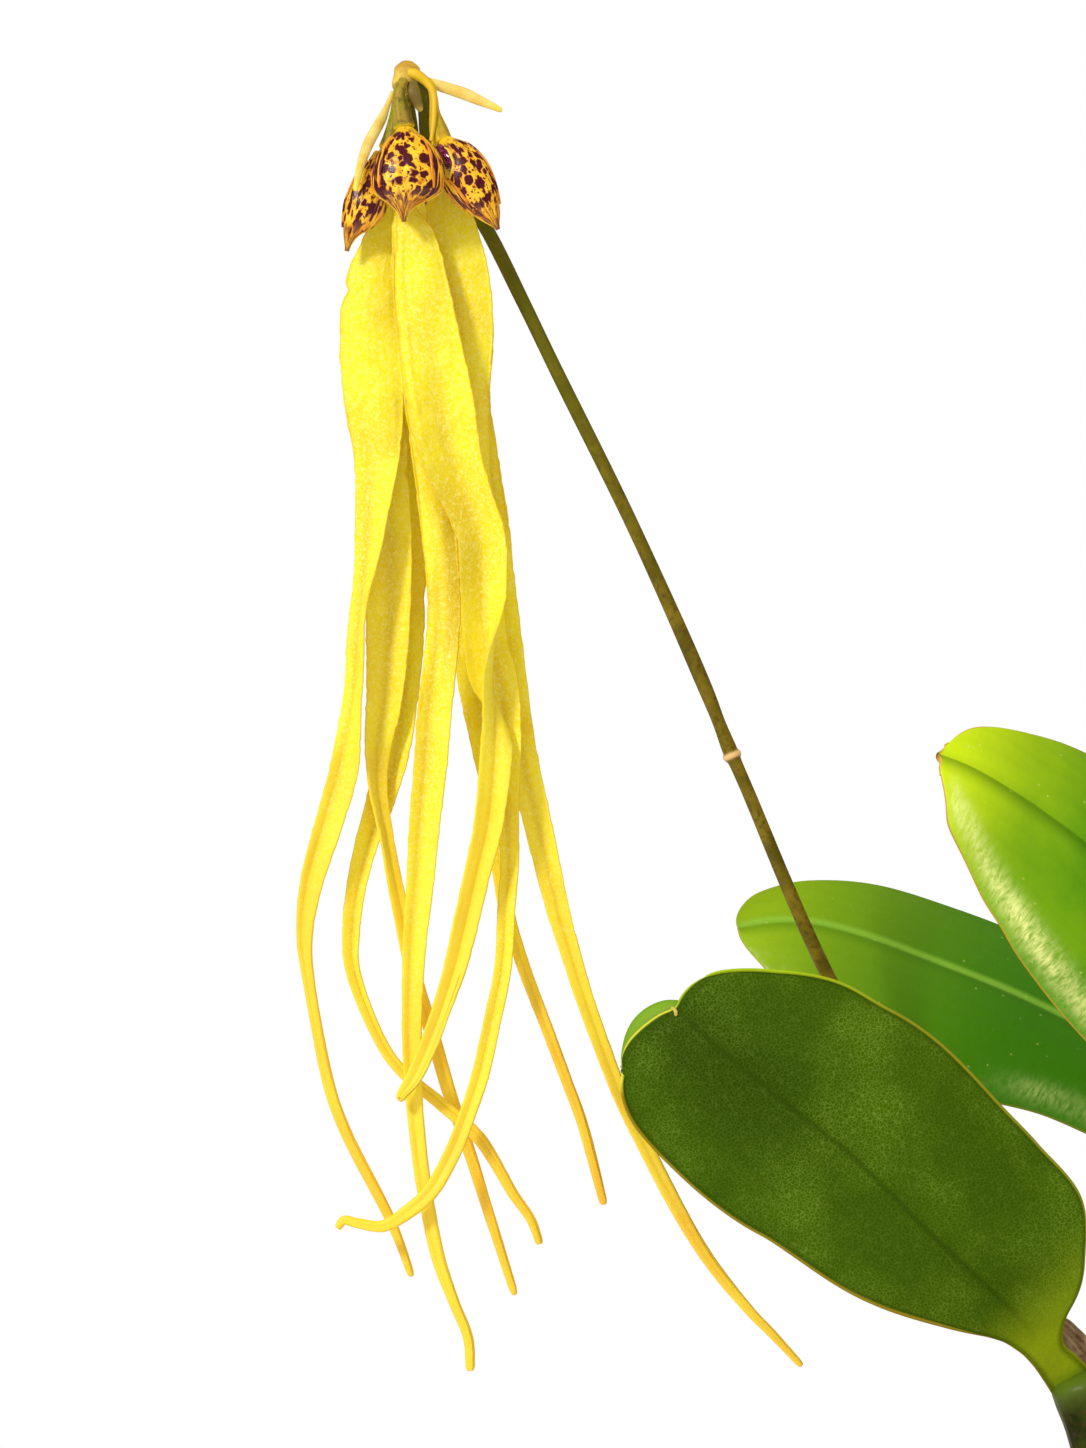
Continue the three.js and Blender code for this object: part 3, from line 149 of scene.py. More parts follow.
# Each flower: its pedicel and ovary and its lip as [x, y, z, radius]; its hood's foot and tip,
# the side it bulges to, its half-widths to the left and right of its axis at even steps from
# foot to tip, the angles between which its sheet wraps round the axis, and how far each margin
# draws back near the foot, where the mouth shows.
FLOWERS = {
    1: {
        "ovary": [
            [-131.8, -1.2, 331.0, 0.8], [-132.1, -1.6, 328.1, 0.9], [-132.4, -1.6, 324.7, 1.2],
            [-133.0, -1.8, 321.4, 1.5], [-134.0, -2.4, 319.0, 1.5]
        ],
        "foot": [-134.9, -3.8, 318.8], "tip": [-140.6, -5.6, 301.9], "bulge": [0, -0.97, 0.2],
        "left": [1.2, 1.6, 2.4, 2.7, 2.8, 2.3, 1.5, 0.4], "right": [1.2, 2.4, 3.4, 4.0, 4.2, 3.2, 1.1, 0.4],
        "wrap": [-115, 75], "open": [0, 60],
        "lip": [[-136.0, -2.4, 317.0, 0.8], [-135.6, -3.2, 315.2, 1.1], [-135.2, -3.4, 313.0, 0.8]]
    },
    2: {
        "ovary": [
            [-131.0, -3.2, 331.2, 0.8], [-131.7, -4.4, 328.6, 0.9], [-131.4, -5.0, 325.6, 1.4],
            [-130.8, -5.2, 322.4, 1.8]
        ],
        "foot": [-130.6, -6.8, 322.6], "tip": [-130.8, -11.4, 306.3], "bulge": [0, -0.95, 0.3],
        "left": [1.4, 2.7, 4.2, 5.1, 5.5, 5.1, 2.1, 0.35], "right": [1.4, 3.4, 5.4, 6.4, 6.6, 6.1, 1.9, 0.35],
        "wrap": [-80, 80], "open": [0, 0],
        "lip": [[-130.6, -6.6, 319.2, 1.0], [-130.4, -6.8, 315.4, 1.5], [-130.1, -6.8, 309.6, 0.7]]
    },
    3: {
        "ovary": [
            [-128.2, -1.4, 331.8, 0.6], [-126.6, -1.8, 330.6, 0.7], [-126.0, -2.0, 328.2, 0.7],
            [-125.8, -2.0, 325.6, 0.9], [-125.1, -2.2, 322.6, 1.5], [-124.4, -2.6, 320.2, 1.7]
        ],
        "foot": [-124.1, -4.2, 321.1], "tip": [-115.0, -6.0, 305.5], "bulge": [0, -0.97, 0.2],
        "left": [1.2, 2.8, 4.2, 4.7, 4.4, 3.4, 1.9, 0.4], "right": [1.0, 2.7, 3.6, 3.9, 3.6, 2.9, 1.9, 0.4],
        "wrap": [-75, 115], "open": [54, 0],
        "lip": [
            [-124.8, -3.8, 319.8, 1.0], [-123.6, -5.2, 318.4, 1.6], [-122.4, -6.0, 316.6, 1.6],
            [-121.6, -5.6, 315.0, 0.8]
        ]
    },
    4: {
        "ovary": [
            [-130.4, 2.4, 331.4, 0.8], [-130.4, 4.2, 328.6, 0.9], [-130.2, 5.6, 324.0, 1.3],
            [-130.2, 6.6, 319.0, 1.6]
        ],
        "foot": [-130.2, 8.4, 319.8], "tip": [-131.0, 13.4, 306.6], "bulge": [0.06, 0.95, 0.3],
        "left": [1.3, 2.9, 4.4, 5.2, 5.3, 4.4, 1.9, 0.4], "right": [1.3, 2.9, 4.4, 5.2, 5.3, 4.4, 1.9, 0.4],
        "wrap": [-80, 80], "open": [0, 0],
        "lip": [[-130.2, 8.2, 317.0, 0.9], [-130.3, 8.6, 314.0, 1.4], [-130.3, 8.8, 310.4, 0.7]]
    }
}
# A hood's usual length and radius, how far its rim and its petals' rims roll out and how deep the
# crease down its middle is; how far its skin lies inside its outline and the least width left
# there; its depth as a share of both half widths; and how far it bulges
HOOD = {
    "length": 16.0, "radius": 4.6, "rim": 0.3, "petal_rim": 0.35, "crease": 0.18, "inset": 0.35,
    "least": 0.12, "depth": 0.36, "bulge": 2.2
}
# The two small petals along a hood's margins: where they begin and end along it, how many
# degrees wide they are and how far they stand off its sheet
PETALS = {"from": 0.12, "from_mouth": 0.36, "to": 0.8, "wide": 38.0, "proud": 0.28}

# [x, y, z, radius] down the scape; the pale ring round its node, how far it reaches up and down and
# its swelling as a share of the radius; and the knob on top
SCAPE = [
    [-129.2, 0.2, 331.6, 1.2], [-127.9, 1.6, 329.4, 1.2], [-127.6, 3.0, 326.0, 1.15],
    [-127.2, 4.2, 321.6, 1.15], [-125.4, 5.4, 317.0, 1.2], [-122.2, 6.0, 312.6, 1.2],
    [-117.4, 6.4, 307.2, 1.2], [-110.8, 6.6, 294.2, 1.18], [-104.6, 6.4, 281.4, 1.16],
    [-93.8, 5.8, 259.6, 1.15], [-85.6, 5.4, 241.8, 1.2], [-79.7, 5.2, 228.2, 1.25], [-77.2, 5.2, 221.9, 1.1],
    [-75.1, 5.1, 216.6, 1.3], [-72.8, 5.0, 211.4, 1.1], [-58.9, 4.4, 179.2, 1.2], [-40.4, 3.0, 146.0, 1.3],
    [-22.2, 0.8, 116.4, 1.35], [-15.6, 1.8, 99.0, 1.45], [-12.0, 3.0, 80.6, 1.6]
]
NODE_RING = {"at": [-75.1, 5.1, 216.6], "reach": 0.55, "swell": 0.24}
KNOB = {"at": [-130.6, 0.0, 332.5], "radius": 2.3}

# [x, y, z, width] along each floral bract
BRACTS = {
    "bract_right": [
        [-127.6, 0.9, 331.6, 1.1], [-125.6, 0.9, 330.8, 1.7], [-123.4, 0.9, 330.1, 1.9],
        [-121.0, 0.8, 329.3, 2.0], [-118.5, 0.6, 328.2, 1.7], [-116.1, 0.4, 327.1, 1.2],
        [-114.4, 0.2, 326.3, 0.7]
    ],
    "bract_left": [
        [-132.9, -0.2, 329.6, 0.6], [-134.0, -1.0, 326.6, 1.0], [-134.9, -2.2, 324.4, 1.6],
        [-136.7, -5.2, 320.6, 1.8], [-137.6, -7.2, 318.0, 1.6], [-138.4, -8.8, 315.0, 1.2],
        [-139.0, -9.6, 311.6, 0.7]
    ],
    "bract_front": [
        [-129.6, -2.8, 330.9, 1.5], [-129.3, -3.6, 329.0, 2.1], [-128.6, -3.6, 327.0, 1.5],
        [-128.1, -3.4, 325.8, 0.8]
    ],
    "bract_rear": [[-131.0, 2.2, 333.2, 1.4], [-131.4, 6.0, 332.6, 2.1], [-131.8, 11.0, 329.4, 0.8]]
}

# Each leaf: midrib rows [x, y, z, half width on the lower side, half width on the upper side,
# how far the face looks up] from the petiole's foot to the tip; the radius of its arch; the depth
# of its midrib; its tip's lobes and peg; how far the lower and upper corner of the tip round off;
# how far its margin rolls back there; the share of the end that counts as margin; from where and how
# much it brightens; and from where to where and how strongly a painted sheen lies inside its margin
LEAVES = {
    1: {
        "rows": [
            [-18.6, -9.4, 111.4, 3.9, 3.9, -10], [-20.6, -10.8, 113.8, 3.5, 3.6, -10],
            [-23.0, -12.4, 116.6, 3.2, 3.4, -10], [-25.0, -13.6, 119.4, 4.0, 6.2, -10],
            [-27.6, -14.8, 122.8, 6.0, 14.2, -10], [-32.4, -16.4, 127.6, 10.0, 21.6, -10],
            [-40.4, -18.0, 135.0, 15.4, 23.2, -8], [-46.8, -18.6, 141.2, 18.4, 23.6, -8],
            [-56.8, -19.0, 151.0, 20.8, 24.1, -6], [-64.8, -18.8, 157.2, 21.6, 23.1, -4],
            [-71.8, -18.2, 162.8, 21.2, 21.5, -2], [-79.2, -17.0, 168.9, 19.7, 16.4, 0],
            [-85.2, -15.4, 174.65, 16.4, 10.8, 0]
        ],
        "arch": 62, "groove": -0.5,
        "lobes": [[0.1, 1.15, 1.72, 2.0, 1.9, 0.95, -1.6], [0.1, 0.7, 0.95, 0.86, 0.45, -0.3]], "mucro": 0.0,
        "corners": [0.2, 0.45], "roll": 0.9, "end": 0.6, "bright": [0.55, 0.42], "gloss": [0.42, 0.97, 1.0]
    },
    2: {
        "rows": [
            [20.4, 30.0, 112.4, 2.9, 2.9, 60], [22.0, 30.2, 120.0, 2.4, 2.4, 60],
            [21.6, 30.6, 130.0, 2.8, 2.8, 55], [19.0, 31.4, 140.0, 6.0, 6.0, 50],
            [14.6, 32.2, 148.8, 12.0, 11.0, 46], [4.0, 33.6, 158.6, 18.4, 15.6, 46],
            [-10.8, 35.2, 167.8, 20.8, 18.0, 47], [-24.0, 36.4, 174.4, 24.0, 18.6, 48],
            [-38.0, 37.6, 180.0, 23.4, 17.8, 48], [-50.0, 38.6, 184.4, 19.4, 16.0, 47],
            [-60.0, 39.2, 186.9, 15.8, 11.9, 46], [-67.6, 39.6, 187.0, 12.0, 8.0, 44],
            [-73.0, 39.8, 185.9, 6.4, 4.0, 42]
        ],
        "arch": 56, "groove": 0.4, "lobes": [[0.0, 0.0], [0.0, 0.0]], "mucro": 0.0,
        "corners": [0.93, 0.93], "roll": 0.0, "end": 1.0, "bright": [0.55, 0.42], "gloss": [0.3, 0.6, 0.4]
    },
    3: {
        "rows": [
            [27.4, 1.6, 112.4, 2.9, 2.9, 20], [29.6, 1.8, 120.0, 2.4, 2.4, 20],
            [30.6, 2.0, 130.0, 2.8, 2.8, 22], [29.6, 2.0, 139.6, 6.6, 6.0, 24],
            [27.0, 1.8, 148.0, 13.0, 11.0, 26], [20.2, 1.4, 161.4, 19.6, 17.4, 28],
            [10.8, 0.8, 174.4, 23.4, 21.0, 30], [-0.6, 0.2, 186.8, 24.8, 22.4, 30],
            [-12.6, -0.4, 199.8, 23.6, 20.6, 32], [-21.8, -0.8, 207.0, 20.2, 17.4, 32],
            [-29.4, -1.0, 212.0, 15.4, 12.8, 32], [-35.2, -1.2, 215.2, 11.2, 8.6, 32],
            [-39.2, -1.4, 216.6, 5.2, 3.4, 32]
        ],
        "arch": 44, "groove": 0.9,
        "lobes": [[0.0, 0.35, 0.57, 0.57, 0.35, 0.0], [0.0, 0.35, 0.57, 0.57, 0.35, 0.0]], "mucro": 1.4,
        "corners": [0.5, 0.5], "roll": 0.0, "end": 1.0, "bright": [0.66, 1.0], "gloss": [0.42, 0.97, 1.0]
    }
}

# Pseudobulbs, and their radius at even steps from foot to top as a share of the greatest
BULBS = {
    "pseudobulb_1": {
        "foot": [-5.0, -5.0, 80.6], "top": [-17.6, -9.0, 113.0], "radius": 7.2, "outline": "blunt"
    },
    "pseudobulb_2": {
        "foot": [22.0, 29.0, 80.6], "top": [20.2, 30.0, 113.2], "radius": 8.0, "outline": "ovoid"
    },
    "pseudobulb_3": {"foot": [25.0, -2.0, 80.6], "top": [27.2, 1.4, 113.2], "radius": 8.4, "outline": "ovoid"}
}
BULB_OUTLINES = {
    "blunt": [0.55, 0.84, 1.0, 1.0, 0.94, 0.86, 0.8, 0.78, 0.72],
    "ovoid": [0.55, 0.86, 1.0, 1.0, 0.92, 0.79, 0.63, 0.48, 0.38]
}
BULB_RIBS = {"count": 5, "depth": 0.06}
OLD_BULB = [
    [6.0, 12.0, 80.6, 4.2], [3.4, 11.4, 85.6, 6.6], [-1.4, 10.4, 93.0, 7.0], [-6.8, 9.2, 101.0, 5.4],
    [-11.2, 8.0, 108.0, 3.2], [-15.2, 6.6, 114.0, 2.5], [-18.4, 5.6, 118.0, 2.1], [-20.2, 5.2, 120.2, 1.2]
]

# [x, y, z, radius] along the creeping rhizome and the roots that leave it
RHIZOMES = [
    [
        [-26.0, 6.0, 80.4, 1.6], [-15.0, 1.6, 79.8, 2.4], [-5.0, -4.0, 79.4, 2.6], [4.0, 6.0, 79.4, 2.6],
        [12.0, 20.0, 79.4, 2.6], [24.0, 30.0, 79.4, 2.6], [33.0, 30.0, 79.0, 1.8]
    ],
    [[4.0, 6.0, 79.4, 2.4], [14.0, 1.0, 79.4, 2.4], [26.0, -2.0, 79.4, 2.6], [36.0, -6.0, 79.2, 1.8]]
]
ROOTS = [
    [[-20.0, 3.0, 80.0, 0.8], [-26.0, -5.0, 83.6, 0.8], [-32.0, -12.0, 80.6, 0.8], [-34.0, -15.0, 74.0, 0.7]],
    [[14.0, 1.0, 80.0, 0.8], [16.0, -12.0, 83.8, 0.8], [12.0, -24.0, 81.0, 0.8], [10.0, -28.0, 74.0, 0.7]],
    [[12.0, 20.0, 80.0, 0.8], [2.0, 30.0, 83.8, 0.8], [-6.0, 37.0, 80.4, 0.8], [-9.0, 39.0, 74.0, 0.7]]
]

# How each sepal differs below its blade: how deep its channel is in widths, where across it lies,
# how orange its tail turns, and the small notches of its margins (mm along, side, mm deep). A flank,
# where given, is painted shade on one side of it, where the sheet beside it or its own fold shades
# it: (side, share along where it begins, where it ends, strength).
SEPAL_RELIEF = {
    (1, 0): {"channel": 0.2, "valley": -0.35, "orange": 0.5, "notches": [(21.5, -1, 0.75), (29.0, -1, 0.2)]},
    (1, 1): {"channel": 0.16, "valley": 0.1, "orange": 0.5, "notches": [(24.0, 1, 0.4), (52.0, 1, 0.5)]},
    (2, 0): {
        "channel": 0.2, "valley": -0.3, "orange": 0.25, "painted_flank_shade": (1, 0.16, 0.42, 0.8),
        "notches": [(47.0, -1, 0.4)]
    },
    (2, 1): {
        "channel": 0.3, "valley": 0.0, "from": 0.14, "orange": 0.15,
        "notches": [(30.0, -1, 0.3), (43.0, -1, 0.5)], "painted_flank_shade": (-1, 0.24, 0.44, 0.65), "lead": 0.03,
        "ridge": (-0.74, 0.45)
    },
    (3, 0): {"channel": 0.2, "valley": -0.1, "orange": 0.3, "notches": [(61.0, 1, 0.3)]},
    (3, 1): {"channel": 0.1, "valley": 0.0, "orange": 0.5, "notches": [(17.5, 1, 0.5), (22.0, 1, 0.6)]},
    (4, 0): {"channel": 0.2, "valley": 0.2, "orange": 0.5, "notches": [(66.0, 1, 0.4), (75.0, 1, 0.3)]},
    (4, 1): {"channel": 0.15, "valley": 0.0, "orange": 0.75, "notches": []}
}

# The front leaf's left lobe rolls back: the part of it that shows behind its margin, as
# [x, y, z, width]; and the leaf's tip is a peg, as [x, y, z, radius].
LOBE_ROLL = [
    [-83.2, -13.9, 174.5, 1.9], [-84.96, -13.9, 174.62, 2.3], [-86.97, -13.6, 174.28, 2.9],
    [-89.13, -13.2, 173.13, 3.3], [-90.94, -12.9, 171.40, 3.4], [-92.19, -12.6, 169.56, 2.9],
    [-93.1, -12.3, 167.5, 2.1], [-93.5, -12.1, 165.4, 1.6], [-93.4, -12.0, 163.2, 1.0]
]
LEAF_PEG = [
    [-86.0, -15.9, 174.6, 0.22], [-85.6, -16.4, 174.5, 0.28], [-85.3, -16.7, 174.0, 0.33],
    [-85.25, -16.6, 173.3, 0.26]
]
# The golden collar that runs from the knob into the right pedicel, as [x, y, z, radius].
COLLAR = [
    [-130.2, -1.6, 332.5, 0.8], [-129.0, -2.0, 332.2, 0.95], [-127.5, -2.0, 331.2, 0.8],
    [-126.3, -2.4, 329.6, 0.62], [-125.9, -2.8, 327.6, 0.52], [-125.9, -3.3, 325.2, 0.46],
    [-126.1, -3.9, 322.6, 0.4], [-126.4, -4.2, 320.6, 0.3]
]

# Steps along and round each sheet and stalk
GRIDS = {
    "sepal": (320, 56), "hood": (90, 96), "petal": (40, 32), "lip": (40, 40), "ovary": (60, 48),
    "collar": (40, 32), "scape": (900, 32), "bract": (60, 32), "leaf": (260, 144), "lobe": (60, 40),
    "peg": (24, 16), "bulb": (120, 120), "old_bulb": (120, 96), "rhizome": (240, 32), "root": (120, 20)
}
# Millimetres over which the ends of the sepals, the bracts and every sheet's edge round off
ENDS = {"sepal": 2.4, "bract": 0.8, "edge": 0.5}
# Share of a leaf's length from which its tip rounds off
LEAF_TIP = 0.93

# The pot: thickness of its wall and floor, its rim band and how far that stands out, and its
# drainage holes, their radius and the circle that they lie on
POT = {"wall": 5, "floor": 6, "band": 14, "overhang": 3, "holes": 4, "hole": 5.0, "circle": 20}
# The chips: seed of their draws, rings and corners of a chip, half its length, width and height as
# shares of its size, their height in the pot and the height that none passes, and how far they stay
# from the outside of its rim
CHIPS = {
    "seed": 11, "rings": 6, "corners": 10, "halves": (0.5, 0.32, 0.14), "level": 79.2, "lid": 84.0,
    "inset": 11
}

# The view: the camera's sensor, its distance, the height that it shows there and its place
VIEW = {"sensor": 36.0, "distance": 900.0, "height": 246.16, "x": -107.44, "z": 222.02}
# The lamps: place, size, power in watts and whether their reflection shows; they point at LIT.
# These and the floor's radius are in metres
LAMPS = {
    "key softbox": ((-0.95, -1.0, 1.05), 0.26, 14.5, True), "rear softbox": ((0.5, 0.8, 0.9), 0.6, 2.5, False)
}
LIT = (-0.08, 0.0, 0.24)
FLOOR_RADIUS = 0.62

MM = 0.001


def linear(code, alpha=1.0):
    """sRGB hex to linear: c / 12.92 below 0.04045, else ((c + 0.055) / 1.055) ^ 2.4."""
    parts = [int(code[i : i + 2], 16) / 255 for i in (1, 3, 5)]
    return [c / 12.92 if c <= 0.04045 else ((c + 0.055) / 1.055) ** 2.4 for c in parts] + [alpha]


def tint(name, code, description):
    """A colour that a user can change."""
    return bpy.props.FloatVectorProperty(
        name=name, description=description, subtype="COLOR", size=4, min=0.0, max=1.0, default=linear(code)
    )


def length(name, millimetres, description):
    """A length that a user can change, in metres."""
    return bpy.props.FloatProperty(
        name=name, description=description, subtype="DISTANCE", unit="LENGTH", precision=5,
        default=millimetres * MM, min=0.0
    )


# ---------------------------------------------------------------- curves


def row_at(rows, t):
    """Catmull-Rom blend of every column of the rows, at t from 0 to 1: the cubic through the two
    rows beside t whose slopes there are half the steps between their neighbours."""
    rows = np.asarray(rows, float)
    t = np.asarray(t, float)
    last = len(rows) - 1
    span = np.clip(np.floor(t * last).astype(int), 0, last - 1)
    f = (t * last - span)[..., None]
    before, start = rows[np.maximum(span - 1, 0)], rows[span]
    end, after = rows[span + 1], rows[np.minimum(span + 2, last)]
    slope_in, slope_out, rise = (end - before) / 2, (after - start) / 2, end - start
    cubic, square = slope_in + slope_out - 2 * rise, 3 * rise - 2 * slope_in - slope_out
    return ((cubic * f + square) * f + slope_in) * f + start


def unit(vectors):
    """Each vector over its own length."""
    return vectors / np.maximum(np.linalg.norm(vectors, axis=-1, keepdims=True), 1e-12)


def turned_frame(rows, t, turn=0.0):
    """Across and face of a midline. The face is -Y less its part along the line, across is face x
    along, and both are turned about the line by the given degrees."""
    t = np.asarray(t, float)
    step = 0.25 / (len(rows) - 1)
    ahead, behind = row_at(rows, np.minimum(t + step, 1)), row_at(rows, np.maximum(t - step, 0))
    along = unit((ahead - behind)[..., :3])
    view = np.array([0.0, -1.0, 0.0])
    face = unit(view - along * np.sum(along * view, axis=-1, keepdims=True))
    across = np.cross(face, along)
    angle = np.radians(turn)[..., None] if np.ndim(turn) else math.radians(turn)
    right = across * np.cos(angle) - face * np.sin(angle)
    normal = face * np.cos(angle) + across * np.sin(angle)
    return right, normal


def beside(rows, t, offset, lift, turn=0.0):
    """A point off a midline: the offset across it and the lift towards its face."""
    right, normal = turned_frame(rows, t, turn)
    return row_at(rows, t)[..., :3] + right * offset[..., None] + normal * lift[..., None]


def arc_length(rows, t):
    """Millimetres along the midline at t: the summed chords of 400 short steps."""
    fine = np.linspace(0, 1, 401)
    points = row_at(rows, fine)[:, :3]
    travelled = np.concatenate([[0], np.cumsum(np.linalg.norm(np.diff(points, axis=0), axis=1))])
    return np.interp(t, fine, travelled)


def smooth(low, high, value):
    """Smoothstep: 3x^2 - 2x^3 of the value's share of the way from low to high."""
    share = np.clip((value - low) / (high - low), 0, 1)
    return share * share * (3 - 2 * share)


def rounded(past):
    """Half width left at a share of the way past a rounding: sqrt(1 - past^2), 0.02 at the least."""
    return np.sqrt(np.clip(1 - np.clip(past, 0, 1) ** 2, 0.0004, 1))


def boxy(wave, power):
    """A sine or cosine to a power with its sign kept, which squares a circle off."""
    return np.sign(wave) * np.abs(wave) ** power


def round_angles(count):
    """Even angles once round."""
    return 2 * np.pi * np.arange(count) / count


def crowded(rows):
    """Parameters 0 to 1, closer together at both ends: u - 0.09 sin(2 pi u)."""
    u = np.linspace(0, 1, rows + 1)
    return u - 0.09 * np.sin(2 * np.pi * u)


# ---------------------------------------------------------------- surfaces

FOLDED = ("fold", "fold")
POINTED = ("point", "point")


def lattice(points, ends=FOLDED, **fields):
    """Triangles over a grid of closed rings. An end that folds joins its ring's two halves edge to
    edge; an end that is a point joins the whole ring in one. Loose corners are dropped."""
    rows, around = points.shape[:2]
    index = np.arange(rows * around).reshape(rows, around)
    places = np.arange(around)
    halves = {"fold": np.minimum(places, (around - places) % around), "point": places * 0}
    index[0] = index[0][halves[ends[0]]]
    index[-1] = index[-1][halves[ends[1]]]
    beside = np.roll(index, -1, axis=1)
    quads = np.stack([index[:-1], beside[:-1], beside[1:], index[1:]], -1).reshape(-1, 4)
    triangles = np.concatenate([quads[:, [0, 1, 2]], quads[:, [0, 2, 3]]])
    a, b, c = triangles.T
    triangles = triangles[(a != b) & (b != c) & (c != a)]
    used, compact = np.unique(triangles, return_inverse=True)
    shape = {"points": points.reshape(-1, 3)[used], "triangles": compact.reshape(-1, 3)}
    for name, values in fields.items():
        values = np.broadcast_to(values, (rows, around) + np.shape(values)[2:])
        shape[name] = values.reshape((rows * around,) + values.shape[2:])[used]
    return shape


def blade(surface, thickness, rows, around, size, fields):
    """A sheet with rounded margins. At angle p round a section the share across is cos p, and the
    point is the surface there plus its normal times half the thickness times sin p to the power
    0.45; the thickness closes as a circle over the last half millimetre at each end."""
    t = crowded(rows)[:, None]
    p = round_angles(around)
    s = np.cos(p)
    t, s = np.broadcast_arrays(t, s)
    step = 1e-4
    along = surface(np.minimum(t + step, 1), s) - surface(np.maximum(t - step, 0), s)
    across = surface(t, s + step) - surface(t, s - step)
    normal = unit(np.cross(along, across))
    near = np.clip(1 - np.minimum(t, 1 - t) * size / ENDS["edge"], 0, 1)
    half = 0.5 * (thickness(t) if callable(thickness) else thickness) * np.sqrt(1 - near**2)
    lift = half * boxy(np.sin(p), 0.45)
    return lattice(surface(t, s) + normal * lift[..., None], **fields(t, s))


def tube(rows, rings, around, swell=None, fields=None):
    """A stalk: circles of the rows' own radius carried along their midline, times a swell that is a
    function of the share along and the angle; the radius closes as a circle at both ends, over half
    of itself or at least 0.2 mm."""
    t, p = np.broadcast_arrays(crowded(rings)[:, None], round_angles(around))
    row = row_at(rows, t)
    right, normal = turned_frame(rows, t)
    radius = row[..., 3]
    if swell is not None:
        radius = radius * swell(t, p)
    size = arc_length(rows, 1.0)
    near = np.clip(1 - np.minimum(t, 1 - t) * size / np.maximum(0.5 * row[..., 3], 0.2), 0, 1)
    radius = (radius * np.sqrt(1 - near**2))[..., None]
    points = row[..., :3] + radius * (right * np.cos(p)[..., None] + normal * np.sin(p)[..., None])
    lay = np.stack([arc_length(rows, t), p, t], -1)
    extra = fields(t, p) if fields else {}
    return lattice(points, POINTED, lay=lay, **extra)


def together(shapes):
    """Several shapes as one: their corners in order, each one's triangles moved up by the corners
    before it. A field that one of them lacks is zero there."""
    counts = [len(shape["points"]) for shape in shapes]
    starts = np.concatenate([[0], np.cumsum(counts)[:-1]])
    names = sorted({name for shape in shapes for name in shape} - {"triangles"})
    result = {"triangles": np.concatenate([s["triangles"] + n for s, n in zip(shapes, starts)])}
    for name in names:
        like = next(shape[name] for shape in shapes if name in shape)
        parts = [shape.get(name, np.zeros((count,) + like.shape[1:])) for shape, count in zip(shapes, counts)]
        result[name] = np.concatenate(parts)
    return result


def mesh_of(name, points, faces):
    """A mesh of these corners, in metres, and faces."""
    mesh = bpy.data.meshes.new(name)
    mesh.from_pydata(points, [], faces)
    return mesh


def linked(name, data):
    """An object that holds the data, in the scene."""
    made = bpy.data.objects.new(name, data)
    bpy.context.scene.collection.objects.link(made)
    return made


def put(name, shape, finish, slot, *nodes):
    """Puts a shape into the scene as a smooth piece under the root body, with its finish, and hides the CAD
    nodes that it stands for.
    """
    mesh = mesh_of(name, shape["points"] * MM, shape["triangles"])
    for field, values in shape.items():
        if field in ("points", "triangles"):
            continue
        kind, key = ("FLOAT_VECTOR", "vector") if values.ndim == 2 else ("FLOAT", "value")
        layer = mesh.attributes.new(field, kind, "POINT")
        layer.data.foreach_set(key, np.ascontiguousarray(values, np.float32).ravel())
    mesh.polygons.foreach_set("use_smooth", np.ones(len(mesh.polygons), bool))
    mesh.update()
    mesh.materials.append(finish)
    piece = linked(name, mesh)
    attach(piece, "root")
    if nodes:
        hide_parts(*nodes)
    return piece


# ---------------------------------------------------------------- materials

EASED = {"interpolation_type": "SMOOTHSTEP"}
TIMES = {"operation": "MULTIPLY"}


def add(tree, kind, inputs=(), out=0, **settings):
    """Adds a node, sets it, links or fills its inputs, which come in order or under their names or
    numbers, and gives back one of its outputs."""
    made = tree.nodes.new("ShaderNode" + kind)
    for name, value in settings.items():
        setattr(made, name, value)
    for place, value in inputs.items() if isinstance(inputs, dict) else enumerate(inputs):
        if isinstance(value, bpy.types.NodeSocket):
            tree.links.new(value, made.inputs[place])
        else:
            made.inputs[place].default_value = value
    return made.outputs[out]


def new_finish(name, **sockets):
    """A material whose Principled shader's plain sockets are set, and the call that adds to it."""
    finish = bpy.data.materials.new(name)
    finish.use_nodes = True
    for socket, value in sockets.items():
        finish.node_tree.nodes["Principled BSDF"].inputs[socket.replace("_", " ")].default_value = value
    return finish, partial(add, finish.node_tree)


def dress(finish, layers, reliefs=(), ground=None):
    """Lays each colour over what lies below it by its share, and each relief, given as strength,
    depth in metres, height and whether it is sunk, on the one below it. Both go to the shader."""
    tree = finish.node_tree
    shader = tree.nodes["Principled BSDF"].inputs
    for link in shader["Base Color"].links:
        ground = link.from_socket
    for share, colour in layers:
        colour = linear(colour) if isinstance(colour, str) else colour
        ground = add(tree, "Mix", {0: share, 6: ground, 7: colour}, 2, data_type="RGBA")
    tree.links.new(ground, shader["Base Color"])
    below = {"Normal": link.from_socket for link in shader["Normal"].links}
    for strength, depth, height, *sunk in reliefs:
        inputs = {"Strength": strength, "Distance": depth, "Height": height, **below}
        below["Normal"] = add(tree, "Bump", inputs, invert=bool(sunk))
    if reliefs:
        tree.links.new(below["Normal"], shader["Normal"])


def per_mm(millimetres):
    """Scale of a pattern on metres whose features are this many millimetres."""
    return 1000.0 / millimetres


